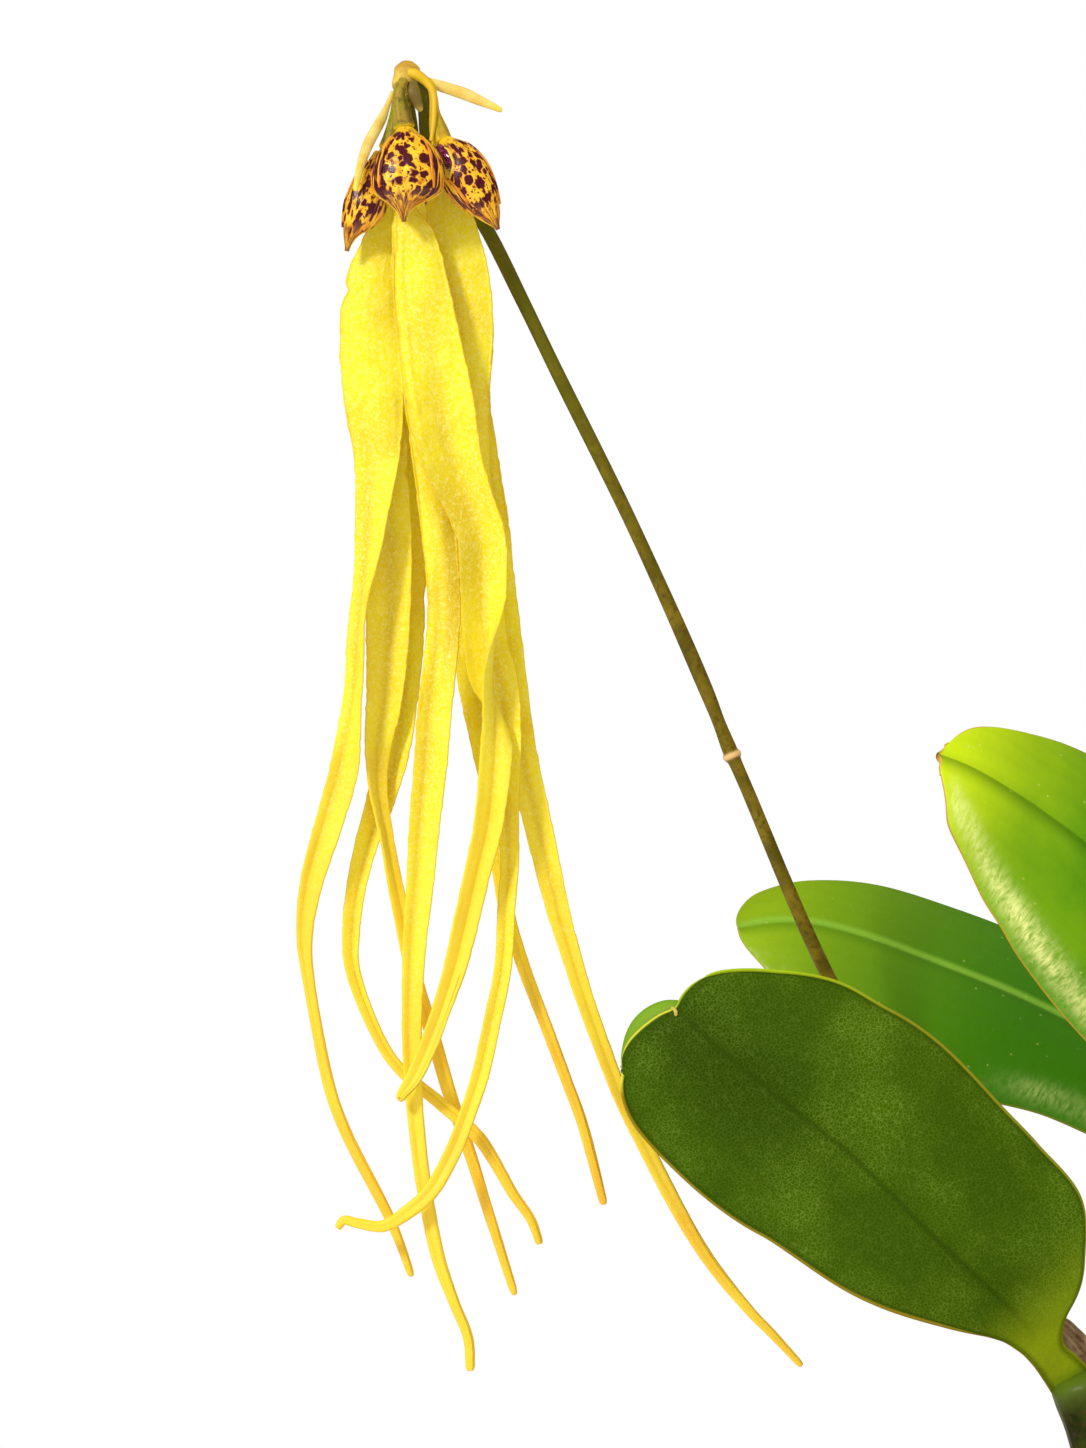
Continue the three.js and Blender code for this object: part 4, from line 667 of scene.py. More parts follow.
def sepal_tissue(colours):
    """Fleshy petal tissue, smooth and waxy: light enters it and comes back yellow. Its cells glisten as
    fine grains of painted glint. Its wrinkles carry painted highlight on their crests and painted shade
    in their hollows, and its channels carry painted shade along their valleys and shaded flanks. Faint
    veins run along it, and it turns orange at the margins and tails."""
    finish, node = new_finish(
        "fleshy yellow sepal", Roughness=0.5, IOR=1.5, Specular_IOR_Level=0.35,
        Subsurface_Weight=0.15, Subsurface_Scale=0.001, Subsurface_Radius=(1.0, 0.9, 0.05)
    )
    place = node("TexCoord", out=3)
    lay = node("Attribute", out=1, attribute_name="lay")
    orange, share, floor = (node("Attribute", out=2, attribute_name=n) for n in ("orange", "share", "floor"))
    across, side = (node("SeparateXYZ", (lay,), n) for n in (1, 2))
    clouds = node("TexNoise", {"Vector": place, "Scale": per_mm(11), "Detail": 3.0})
    deeper = node("MapRange", (share, 0.4, 0.75, 0.0, 0.65))
    patchy = node("MapRange", (clouds, 0.3, 0.7, 0.5, 1.1))
    tail = node("Math", (orange, patchy), use_clamp=True, **TIMES)
    # crossing wrinkles about 0.5 mm apart, with painted highlight on their crests and painted shade in their
    # hollows, which fade on the tails
    wrinkles = {"Vector": place, "Scale": per_mm(0.5), "Detail": 5.0, "Roughness": 0.62, "Distortion": 0.9}
    tangle = node("TexNoise", wrinkles)
    calm = node("MapRange", (share, 0.45, 0.8, 1.0, 0.04))
    tone = node("MapRange", (share, 0.4, 0.7, 1.0, 0.2))
    # cells, one in every 0.7 mm or so, each with a painted glint
    cells = node("TexVoronoi", {"Vector": place, "Scale": per_mm(0.7), "Randomness": 1.0})
    edge = node("Math", (side,), operation="ABSOLUTE")
    painted_highlight, painted_hollow_shade, painted_glint, rim = (
        node("Math", (node("MapRange", limits, **ease), fade), **TIMES)
        for limits, fade, ease in (
            ((tangle, 0.46, 0.66, 0.0, 0.6), tone, {}),
            ((tangle, 0.48, 0.3, 0.0, 0.35), calm, {}),
            ((cells, 0.1, 0.24, 0.2, 0.0), tone, {}),
            ((edge, 0.95, 1.0, 0.0, 0.5), tone, EASED),
        )
    )
    # faint veins along it, about 1.2 mm apart
    sway = node("TexNoise", {"Vector": place, "Scale": per_mm(7), "Detail": 3.0})
    phase = node("Math", (sway, 7.0, node("Math", (across, 5.2), **TIMES)), operation="MULTIPLY_ADD")
    wave = node("Math", (phase,), operation="SINE")
    vein = node("MapRange", (wave, 0.5, 1.0, 0.0, 0.05))
    # painted shade lies along the channels' valleys and flanks (#D4B800) and in the wrinkles' hollows;
    # painted highlight lies on the wrinkles' crests and the cells' glints
    layers = [
        (node("MapRange", (clouds, 0.36, 0.66)), colours.sepal_deep), (deeper, "#F6DA48"),
        (tail, colours.sepal_tail), (floor, "#D4B800"), (painted_highlight, colours.sepal_light),
        (painted_hollow_shade, colours.sepal_deep), (painted_glint, "#FFFCB4"), (vein, colours.sepal_deep), (rim, colours.sepal_rim)
    ]
    grain, swell = (node("Math", (calm, part), **TIMES) for part in (0.6, 0.5))
    reliefs = [(grain, 0.0003, tangle), (0.06, 0.0002, wave), (swell, 0.002, sway)]
    dress(finish, layers, reliefs, colours.sepal)
    return finish


def hood_tissue(colours):
    """The dorsal sepal and petals: thick waxy orange-yellow tissue with raised maroon blotches,
    stripes on the petals and streaks that run together towards the tip. It turns deeper orange towards
    its margins, partly as its own colour and partly as painted shade. It is paler along its rolled rim,
    as a painted highlight."""
    finish, node = new_finish(
        "waxy spotted hood", Roughness=0.34, IOR=1.44, Specular_IOR_Level=0.6,
        Subsurface_Weight=0.1, Subsurface_Scale=0.0008, Subsurface_Radius=(1.0, 0.45, 0.1)
    )
    place = node("TexCoord", out=3)
    lay = node("Attribute", out=1, attribute_name="lay")
    share, petal = (node("Attribute", out=2, attribute_name=n) for n in ("share", "petal"))
    clouds = node("TexNoise", {"Vector": place, "Scale": per_mm(3.2), "Detail": 3.0})
    # blotches 1 to 2 mm across on the sheet's own millimetres, bent so that some run together
    flat = node("Mapping", {"Vector": lay, "Scale": (0.72, 0.74, 0.0)})
    warp = node("TexNoise", {"Vector": flat, "Scale": 1.7, "Detail": 0.6}, 1)
    warp = node("VectorMath", (warp, (0.5, 0.5, 0.5)), operation="SUBTRACT")
    warped = node("VectorMath", (warp, (0.85, 0.85, 0.0), flat), operation="MULTIPLY_ADD")
    big = node("TexVoronoi", {"Vector": warped, "Scale": 1.0, "Randomness": 0.8})
    small = node("TexVoronoi", {"Vector": warped, "Scale": 2.4, "Randomness": 1.0})
    patch = node("TexNoise", {"Vector": flat, "Scale": 0.9, "Detail": 0.0})
    reach = node("MapRange", (patch, 0.35, 0.65, 0.42, 0.57))
    big, small = (node("Math", pair, operation="SUBTRACT") for pair in ((reach, big), (0.25, small)))
    blotch = node("Math", (big, small), operation="MAXIMUM")
    # stripes along the petals and towards the tip, about 0.6 mm apart
    lined = node("Mapping", {"Vector": lay, "Scale": (0.2, 1.3, 0.0)})
    lines = node("TexNoise", {"Vector": lined, "Scale": 1.2, "Detail": 2.0, "Distortion": 0.9})
    side = node("Math", (node("SeparateXYZ", (lay,), 2),), operation="ABSOLUTE")
    halo, spot, streak, stripe, near_tip, rim, point = (
        node("MapRange", limits, **EASED)
        for limits in (
            (blotch, -0.13, 0.0, 0.0, 0.7), (blotch, -0.03, 0.05), (lines, 0.42, 0.56, 0.0, 0.8),
            (lines, 0.5, 0.56), (share, 0.7, 0.9, 0.0, 0.8), (side, 0.88, 0.97), (share, 0.9, 1.0, 0.0, 0.8)
        )
    )
    striped = node("Math", (near_tip, petal), operation="MAXIMUM")
    marks, warm = (
        node("Mix", {0: striped, 2: on_hood, 3: on_petal}, data_type="FLOAT")
        for on_hood, on_petal in ((spot, stripe), (halo, streak))
    )
    # the paler rim along the sheet's margins, left off the petals, is a painted highlight on its rolled rim
    rim = node("Math", (rim, node("MapRange", (petal, 0.0, 1.0, 0.9, 0.0))), **TIMES)
    point = node("Math", (point, petal), operation="SUBTRACT", use_clamp=True)
    layers = [
        (node("MapRange", (clouds, 0.4, 0.66)), colours.hood_light),
        # deeper orange towards the margins: partly the hood's own colour, partly painted shade where the
        # sheet turns away
        (node("MapRange", (side, 0.4, 0.95, 0.0, 0.8)), "#DE8420"), (warm, colours.hood_streak),
        (marks, colours.blotch), (rim, colours.hood_light), (point, "#7A2A18"),
        (node("MapRange", (share, 0.03, 0.12, 1.0, 0.0)), "#F2C61E")
    ]
    cells = node("TexVoronoi", {"Vector": place, "Scale": per_mm(0.35)})
    dress(finish, layers, [(0.25, 0.0001, cells, "sunk"), (0.3, 0.0002, marks)], colours.hood)
    return finish


def lip_tissue(colours):
    """The lip: smooth, wet-looking deep purple flesh with a sharp gloss and paler grains."""
    finish, node = new_finish(
        "glossy purple lip", Roughness=0.16, IOR=1.45, Coat_Weight=0.7, Coat_Roughness=0.08
    )
    grains = node("TexNoise", {"Vector": node("TexCoord", out=3), "Scale": per_mm(0.7), "Detail": 3.0})
    spread = node("MapRange", (grains, 0.5, 0.72))
    dress(finish, [(spread, colours.lip_light)], [(0.3, 0.0002, grains)], colours.lip)
    return finish


def leaf_upper(colours):
    """The upper side of a thick orchid leaf: waxy, bright, with a broad soft gloss broken by very
    fine wrinkles, lighter and darker clouds, faint lengthwise veins and a tan margin. Painted shade
    lies in the groove below its midrib, and a painted sheen lies inside its lower margin."""
    finish, node = new_finish("waxy leaf, upper side", Roughness=0.33, IOR=1.45, Specular_IOR_Level=0.3)
    place = node("TexCoord", out=3)
    lay = node("Attribute", out=1, attribute_name="lay")
    hue, bright, gloss, edge, peg, share = (
        node("Attribute", out=2, attribute_name=n) for n in ("hue", "bright", "gloss", "edge", "peg", "share")
    )
    across = node("SeparateXYZ", (lay,), 1)
    clouds = node("TexNoise", {"Vector": place, "Scale": per_mm(16), "Detail": 4.0})
    # the midrib: a pale line, and on its lower side a groove with painted shade that fades over 4 mm
    width = node("Math", (across,), operation="ABSOLUTE")
    tip = node("MapRange", (share, 0.9, 1.0))
    wide = node("MapRange", (tip, 0.0, 1.0, 0.4, 1.3))
    shade, lower, rib, rim = (
        node("MapRange", limits, **EASED)
        for limits in (
            (across, 0.1, 4.0, 0.6, 0.0), (across, -0.3, 0.3), (width, 0.3, 1.5, 0.75, 0.0),
            (edge, wide, 0.05)
        )
    )
    # lengthwise veins about 4 mm apart, very faint
    sway = node("TexNoise", {"Vector": place, "Scale": per_mm(14), "Detail": 2.0})
    phase = node("Math", (sway, 6.0, node("Math", (across, 1.7), **TIMES)), operation="MULTIPLY_ADD")
    wave = node("Math", (phase,), operation="SINE")
    vein = node("MapRange", (wave, 0.2, 1.0, 0.0, 0.04))
    # a painted sheen: a finely wrinkled band of painted highlight inside the lower margin; and pale pores
    flat = node("Mapping", {"Vector": lay, "Scale": (1.2, 0.5, 0.0)})
    folds = {"Vector": flat, "Scale": 1.0, "Detail": 4.0, "Roughness": 0.6, "Distortion": 0.6}
    painted_highlight = node("MapRange", (node("TexNoise", folds), 0.34, 0.62, 0.15, 0.95))
    partly = node("MapRange", (clouds, 0.35, 0.6, 0.55, 1.0))
    thin = node("MapRange", (hue, 0.0, 1.0, 1.0, 0.35))
    shade, rib, rim, painted_highlight = (
        node("Math", pair, **TIMES) for pair in ((shade, lower), (rib, hue), (rim, thin), (painted_highlight, gloss))
    )
    painted_highlight = node("Math", (painted_highlight, partly), **TIMES)
    pores = node("TexVoronoi", {"Vector": place, "Scale": per_mm(3.4)})
    pores = node("MapRange", (pores, 0.03, 0.08, 0.35, 0.0))
    ripe = node("Mix", {0: tip, 6: colours.leaf_rim, 7: linear("#E2B450")}, 2, data_type="RGBA")
    layers = [
        (node("MapRange", (clouds, 0.35, 0.65)), colours.leaf_light), (hue, colours.leaf_rear),
        (bright, colours.leaf_tip), (shade, colours.leaf_dark), (rib, colours.leaf_pale),
        (vein, colours.leaf_dark), (painted_highlight, "#EEF8A0"), (pores, "#DCE88C"), (rim, ripe), (peg, "#7A4A20")
    ]
    # fine wrinkles about 1.1 mm long, which also break up the gloss
    wrinkles = node("TexNoise", {"Vector": place, "Scale": per_mm(1.1), "Detail": 4.0, "Roughness": 0.6})
    reliefs = [(0.16, 0.0003, wrinkles), (0.06, 0.0003, wave), (0.3, 0.003, clouds)]
    dress(finish, layers, reliefs, colours.leaf)
    dull = node("MapRange", (wrinkles, 0.3, 0.7, 0.27, 0.42))
    finish.node_tree.links.new(dull, finish.node_tree.nodes["Principled BSDF"].inputs["Roughness"])
    return finish


def leaf_underside(colours):
    """The underside of the front leaf: darker and duller, covered by a fine wrinkled net, with a
    low keel, a thick yellow-green margin and a paler petiole. Painted shade darkens it down the middle
    towards the tip. The back of its rolled lobe is painted darker towards the fold as shade and paler
    towards its edge as sheen."""
    finish, node = new_finish("leathery leaf, underside", Roughness=0.55, IOR=1.45, Specular_IOR_Level=0.04)
    place = node("TexCoord", out=3)
    lay = node("Attribute", out=1, attribute_name="lay")
    share, dusk, edge, curl, peg = (
        node("Attribute", out=2, attribute_name=n) for n in ("share", "dusk", "edge", "curl", "peg")
    )
    across = node("SeparateXYZ", (lay,), 1)
    clouds = node("TexNoise", {"Vector": place, "Scale": per_mm(14), "Detail": 4.0})
    # a net of fine pale lines, its meshes about 0.6 mm across and bent out of shape
    bent = node("TexNoise", {"Vector": place, "Scale": per_mm(1.2), "Detail": 2.0}, 1)
    bent = node("VectorMath", (bent, (0.001, 0.001, 0.001), place), operation="MULTIPLY_ADD")
    net = node("TexVoronoi", {"Vector": bent, "Scale": per_mm(0.62)}, feature="DISTANCE_TO_EDGE")
    wrinkles = node("TexNoise", {"Vector": place, "Scale": per_mm(0.7), "Detail": 4.0, "Distortion": 1.2})
    width = node("Math", (across,), operation="ABSOLUTE")
    keel, foot, base, inner, rim = (
        node("MapRange", limits, **EASED)
        for limits in (
            (width, 0.0, 0.8, 0.6, 0.0), (share, 0.15, 0.42, 1.0, 0.0), (share, 0.0, 0.09, 0.85, 0.0),
            (edge, 1.6, 0.5, 0.0, 0.55), (edge, 0.42, 0.12)
        )
    )
    line, broken, streaks, left, margin, fresh, pale, back = (
        node("MapRange", limits)
        for limits in (
            (net, 0.02, 0.11, 0.5, 0.0), (clouds, 0.38, 0.64, 0.3, 0.85), (wrinkles, 0.35, 0.65, 0.1, 0.45),
            (across, -1.0, 1.0), (share, 0.965, 0.99), (share, 0.72, 0.92), (curl, 0.2, 1.0), (curl, 0.0, 0.1)
        )
    )
    # painted shade down the middle towards the tip, at half strength
    line, streaks, dusk = (
        node("Math", pair, **TIMES) for pair in ((line, broken), (streaks, foot), (dusk, 0.5))
    )
    # the rolled lobe's back is the lighter green of the leaf's other side, painted darker towards the fold as
    # shade and paler towards the edge as sheen
    margin, other, rolled = (
        node("Mix", {0: part, 6: one, 7: two}, 2, data_type="RGBA")
        for part, one, two in (
            (margin, linear("#8C7C1C"), linear("#D2D446")), (fresh, linear("#84861C"), colours.under_rim),
            (pale, linear("#689614"), linear("#A6CA56"))
        )
    )
    margin = node("Mix", {0: left, 6: other, 7: margin}, 2, data_type="RGBA")
    layers = [
        (node("MapRange", (clouds, 0.36, 0.64)), colours.under_light), (dusk, "#203400"),
        (line, colours.under_pale), (keel, "#2A4200"), (foot, colours.petiole), (streaks, "#7C9426"),
        (base, "#66801A"), (inner, "#2C4600"), (rim, margin), (back, rolled), (peg, "#C6B65A")
    ]
    reliefs = [(0.3, 0.0003, wrinkles), (0.12, 0.0002, net), (0.25, 0.003, clouds)]
    dress(finish, layers, reliefs, colours.under)
    return finish


def mottled(name, tones, grain, roughness, relief, flecked=0.7):
    """Plain plant tissue: two tones in clouds a few grains wide, small flecks of a third, darker
    one, and a relief of the grain itself."""
    finish, node = new_finish(name, Roughness=roughness, IOR=1.45, Specular_IOR_Level=0.25)
    place = node("TexCoord", out=3)
    clouds = node("TexNoise", {"Vector": place, "Scale": per_mm(grain * 5), "Detail": 4.0})
    patches = node("MapRange", (clouds, 0.38, 0.62))
    grains = node("TexNoise", {"Vector": place, "Scale": per_mm(grain), "Detail": 3.0})
    fleck = node("MapRange", (grains, 0.52, 0.7, 0.0, flecked))
    low, high, spot = tones
    dress(finish, [(patches, high), (fleck, spot)], [(0.4, relief * MM, grains)], low)
    return finish, node


def scape_skin(colours):
    """The scape: smooth wiry stalk, dark green above, mottled olive brown below, satin."""
    tones = colours.scape_brown, colours.scape, colours.scape_dark
    finish, node = mottled("mottled olive scape", tones, 0.9, 0.4, 0.08)
    height = node("SeparateXYZ", (node("TexCoord", out=3),), 2)
    upper = node("MapRange", (height, 0.24, 0.29, 0.0, 0.8))
    ring = node("Attribute", out=2, attribute_name="ring")
    dress(finish, [(upper, "#5C5E08"), (ring, colours.ring)])
    return finish


def ovary_skin(colours):
    """Pedicels and ovaries: satin olive stalks with lengthwise ribs, tan between them, turning
    yellow where the flower begins."""
    tones = colours.ovary, colours.ovary_tan, colours.ovary_dark
    finish, node = mottled("ribbed ovary", tones, 0.6, 0.42, 0.06)
    share = node("SeparateXYZ", (node("Attribute", out=1, attribute_name="lay"),), 2)
    brown, golden = (node("Attribute", out=2, attribute_name=n) for n in ("brown", "golden"))
    end = node("MapRange", (share, 0.86, 0.97), **EASED)
    dress(finish, [(brown, colours.ovary_dark), (golden, colours.pedicel_gold), (end, "#F0C81C")])
    return finish


def bract_paper(colours):
    """Floral bracts: thin dry straw-coloured sheets with fine lengthwise veins, tan at the edges
    and the base, yellow at the tip."""
    tones = colours.bract, colours.bract_light, colours.bract_tan
    finish, node = mottled("papery bract", tones, 0.5, 0.45, 0.04, 0.15)
    lay = node("Attribute", out=1, attribute_name="lay")
    share, dark = (node("Attribute", out=2, attribute_name=n) for n in ("share", "dark"))
    across, side = (node("SeparateXYZ", (lay,), n) for n in (1, 2))
    wave = node("Math", (node("Math", (across, 16.0), **TIMES),), operation="SINE")
    side = node("Math", (side,), operation="ABSOLUTE")
    vein, rim, tip = (
        node("MapRange", limits)
        for limits in ((wave, 0.2, 1.0, 0.0, 0.25), (side, 0.75, 1.0, 0.0, 0.6), (share, 0.7, 1.0, 0.0, 0.8))
    )
    tan = colours.bract_tan
    dress(finish, [(vein, tan), (rim, tan), (tip, colours.bract_tip), (dark, "#6A5A28")])
    return finish


def terracotta(colours):
    """Unglazed fired clay: matte, finely gritty, with faint throwing rings and lime bloom."""
    tones = colours.clay, colours.clay_light, colours.clay_dark
    finish, node = mottled("unglazed terracotta", tones, 1.2, 0.85, 0.12)
    place = node("TexCoord", out=3)
    bloom = node("TexNoise", {"Vector": place, "Scale": per_mm(45), "Detail": 6.0, "Roughness": 0.62})
    # throwing rings 2 mm apart, the sine of the height
    turns = node("Math", (node("SeparateXYZ", (place,), 2), 3200.0), **TIMES)
    ring = node("Math", (turns,), operation="SINE")
    dress(finish, [(node("MapRange", (bloom, 0.5, 0.72, 0.0, 0.45)), colours.lime)], [(0.15, 0.0002, ring)])
    return finish


# ---------------------------------------------------------------- the sizes and colours


class OrchidSizes(bpy.types.PropertyGroup):
    """Sizes of the visible pieces that a user would change."""

    sepal_thickness: length("Sepal thickness", 0.6, "Thickness of a lateral sepal")
    sepal_wave: length("Sepal wave", 0.22, "How far a sepal's margins wave")
    hood_thickness: length("Hood thickness", 0.6, "Thickness of the hoods and petals")
    bract_thickness: length("Bract thickness", 0.45, "Thickness of the floral bracts")
    leaf_thickness: length("Leaf thickness", 1.2, "Thickness of the leaves")
    pot_rim: length("Pot rim radius", 55.0, "Outer radius of the pot's rim")
    pot_foot: length("Pot foot radius", 38.0, "Outer radius of the pot's foot")
    pot_height: length("Pot height", 85.0, "Height of the pot")
    chip: length("Bark chip", 8.0, "Typical length of a chip of bark")
    chips: bpy.props.IntProperty(name="Chips", description="Number of chips of bark", default=460, min=0)


class OrchidColours(bpy.types.PropertyGroup):
    """Colours of the visible pieces that a user would change."""

    sepal: tint("Sepal", "#FCF00E", "Body of the lateral sepals")
    # the sepals' deep tone also paints the shade in their wrinkles' hollows, and their light tone paints the
    # highlight on the crests
    sepal_deep: tint("Sepal, deep", "#F5DC02", "Clouds and veins of the lateral sepals")
    sepal_light: tint("Sepal, light", "#FFFA9C", "Glints of the sepals' cells")
    sepal_tail: tint("Sepal tail", "#F5A81C", "Tails of the lateral sepals")
    sepal_rim: tint("Sepal margin", "#E2AA00", "Margins of the lateral sepals")
    hood: tint("Hood", "#F6B91A", "Body of the hoods")
    # the hoods' light tone also paints the highlight along their rims
    hood_light: tint("Hood, light", "#FFDA38", "Clouds and rims of the hoods")
    hood_streak: tint("Hood, streaks", "#C4560E", "Orange-brown streaks of the hoods")
    blotch: tint("Blotches", "#521024", "Blotches and stripes of the hoods")
    lip: tint("Lip", "#560C34", "Lips and columns")
    lip_light: tint("Lip, light", "#B04A86", "Paler grains of the lips")
    leaf: tint("Leaf", "#4A8C00", "Upper side of the leaves")
    leaf_light: tint("Leaf, light", "#6EA400", "Lighter clouds of the leaves")
    leaf_tip: tint("Leaf tip", "#C8E60C", "Bright end of the leaves")
    # the dark tone also paints the shade in the midrib groove
    leaf_dark: tint("Leaf, dark", "#3C7000", "Midrib groove and veins")
    leaf_pale: tint("Leaf, pale rib", "#8CC03A", "Pale midrib of the rear leaf")
    leaf_rear: tint("Leaf, rear", "#3E7E0A", "Body of the rear leaf")
    leaf_rim: tint("Leaf margin", "#B8942A", "Margins of the leaves")
    under: tint("Leaf underside", "#355200", "Underside of the front leaf")
    under_light: tint("Leaf underside, light", "#426200", "Lighter clouds of the underside")
    under_pale: tint("Leaf underside, net", "#7E9A3E", "Raised net of the underside")
    under_rim: tint("Leaf underside, margin", "#A0BC1C", "Thick margin of the front leaf")
    petiole: tint("Petiole", "#92A80A", "Leaf stalk of the front leaf")
    scape: tint("Scape", "#5A5006", "Green of the scape")
    scape_brown: tint("Scape, brown", "#7C6A12", "Olive brown of the scape")
    scape_dark: tint("Scape, flecks", "#4E3C0A", "Dark flecks of the scape")
    ring: tint("Node ring", "#E4BC84", "Ring round the scape's node")
    knob: tint("Umbel head", "#BE9436", "Knob at the top of the scape")
    knob_light: tint("Umbel head, light", "#E4C85A", "Lighter side of the knob")
    ovary: tint("Ovary", "#8A8C18", "Green of the pedicels and ovaries")
    ovary_tan: tint("Ovary, tan", "#A98A34", "Tan ribs of the ovaries")
    ovary_dark: tint("Ovary, dark", "#5C4C20", "Dark flecks of the ovaries")
    pedicel_gold: tint("Pedicel, golden", "#E8C02A", "Golden pedicel of the right flower")
    bract: tint("Bract", "#E6C660", "Body of the bracts")
    bract_light: tint("Bract, light", "#F4DE84", "Lighter patches of the bracts")
    bract_tan: tint("Bract, tan", "#CE9A3C", "Veins and edges of the bracts")
    bract_tip: tint("Bract tip", "#F0DC50", "Tips of the bracts")
    bulb: tint("Pseudobulb", "#222E02", "Body of the pseudobulbs")
    bulb_light: tint("Pseudobulb, light", "#3E4A08", "Lighter ribs of the pseudobulbs")
    bulb_brown: tint("Pseudobulb, brown", "#4A3A18", "Brown flecks of the pseudobulbs")
    husk: tint("Old pseudobulb", "#80634C", "Shrivelled old pseudobulb")
    husk_light: tint("Old pseudobulb, light", "#BCA288", "Papery patches of the old pseudobulb")
    husk_dark: tint("Old pseudobulb, dark", "#3A2A20", "Creases of the old pseudobulb")
    clay: tint("Clay", "#B4643C", "Body of the pot")
    clay_light: tint("Clay, light", "#C67C50", "Lighter patches of the pot")
    clay_dark: tint("Clay, grit", "#8E4A2C", "Grit of the pot")
    lime: tint("Lime bloom", "#D8C0A8", "Lime bloom on the pot")
    bark: tint("Bark", "#4E3220", "Body of the bark chips")
    bark_light: tint("Bark, light", "#7C5636", "Worn faces of the chips")
    bark_dark: tint("Bark, dark", "#2A1A10", "Cracks in the chips")
    floor: tint("Floor", "#F2F1EE", "Studio floor")


def settings(context):
    """The sizes and the colours that the scene holds."""
    return context.scene.orchid_sizes, context.scene.orchid_colours


class OrchidPiece:
    """What every operator here shares."""

    bl_options = {"REGISTER", "UNDO"}


# ---------------------------------------------------------------- flowers


def sepal_shape(rows, relief, phase, sizes):
    """One lateral sepal. Across its midline it runs straight by the share of its half width. Its
    blade crowns as 0.1 widths times 1 - s^2 with rolled margins; its tail is a channel, the root
    of (s - valley)^2 + 0.02 times its depth. Both margins waver and have notches, which are bells
    4 mm long, and the end rounds off over the last 2.4 mm."""
    size = float(arc_length(rows, 1.0))
    wave = sizes.sepal_wave / MM
    start, valley = relief.get("from", 0.26), relief["valley"]

    def surface(t, s):
        row = row_at(rows, t)
        turn = row_at(rows, np.clip(t + relief.get("lead", 0.0) * s, 0, 1))[..., 4]
        travelled = arc_length(rows, t)
        half = row[..., 3] * rounded((t * size - size + ENDS["sepal"]) / ENDS["sepal"]) / 2
        broad = np.clip(half / 3, 0, 1)
        waver = np.sin(travelled * 2.9 + phase + 2 * s) + np.sin(travelled * 1.3 + 3 * phase - 2 * s)
        shift = 0.07 * broad * waver * np.sin(travelled * 0.31 + phase + s)
        for middle, side, depth in relief["notches"]:
            shift = shift - depth * np.exp(-(((travelled - middle) / 1.1) ** 2)) * (s * side > 0)
        across = s * (half + shift * np.abs(s) ** 3)
        ripple = np.sin(travelled / 3.1 + phase + s) + 0.6 * np.sin(travelled / 7.3 + 2 * phase)
        crown = 0.2 * half * (1 - s**2) + 0.4 * broad * np.clip((np.abs(s) - 0.82) / 0.18, 0, 1) ** 2
        turned = np.cos(np.radians(turn))
        bend = np.sqrt((s - turned * valley) ** 2 + 0.02) - 0.5
        channel = 2.7 * half * relief["channel"] * bend * turned
        low = smooth(start, start + 0.16, t) * (1 - 0.6 * smooth(0.7, 0.95, t))
        ridge, height = relief.get("ridge", (0.0, 0.0))
        crown = crown + height * np.exp(-(((s - ridge) / 0.07) ** 2)) * smooth(0.05, 0.12, t)
        lift = crown * (1 - low) + channel * low + wave * broad * ripple * np.abs(s) ** 3
        return beside(rows, t, across, lift, turn)

    def fields(t, s):
        half = row_at(rows, t)[..., 3] / 2
        lay = np.stack([arc_length(rows, t), s * half, s], -1)
        turned = np.cos(np.radians(row_at(rows, t)[..., 4]))
        # painted shade: darker along the channel's valley, and on a flank where the sheet beside it or its
        # own fold shades it
        low = smooth(start, start + 0.12, t) * (1 - 0.7 * smooth(0.6, 0.9, t))
        floor = 0.6 * low * np.exp(-(((s - turned * valley) / 0.32) ** 2))
        side, first, last, deep = relief.get("painted_flank_shade", (1, 0.0, 0.1, 0.0))
        painted_flank_shade = smooth(first, first + 0.08, t) * (1 - smooth(last - 0.06, last, t))
        floor = np.maximum(floor, deep * painted_flank_shade * smooth(-0.1, 0.35, s * side))
        orange = relief["orange"] * smooth(0.45, 0.95, t)
        return {"lay": lay, "share": t, "orange": orange, "floor": floor}

    def thickness(t):
        return sizes.sepal_thickness / MM * (1 + 0.9 * smooth(0.5, 0.95, t))

    return blade(surface, thickness, *GRIDS["sepal"], size, fields)


def hood_point(number, v, degrees, offset):
    """A point of a hood: from its foot down its axis by v, out to the side by the half width there
    times the sine of the angle and forwards by the depth times its cosine, plus the bulge times
    sin(pi v^0.8) and less 0.4 depths, which keeps it over its axis."""
    flower = FLOWERS[number]
    foot, tip = np.array(flower["foot"]), np.array(flower["tip"])
    axis = tip - foot
    along = axis / np.linalg.norm(axis)
    out = np.array(flower["bulge"], float)
    out = unit(out - along * out.dot(along))
    side = np.cross(out, along)
    share = np.clip(v, 0, 1)
    left, right = (
        np.maximum(row_at([[w] for w in flower[half]], share)[..., 0] - HOOD["inset"], HOOD["least"])
        for half in ("left", "right")
    )
    depth = HOOD["depth"] * (left + right)
    angle = np.radians(degrees)
    width = np.where(degrees < 0, left, right)
    rise = HOOD["bulge"] * np.sin(np.pi * share**0.8) - 0.4 * depth
    to_side = (width + offset) * np.sin(angle)
    to_front = (depth + offset) * np.cos(angle) + rise
    return foot + axis * v[..., None] + side * to_side[..., None] + out * to_front[..., None]


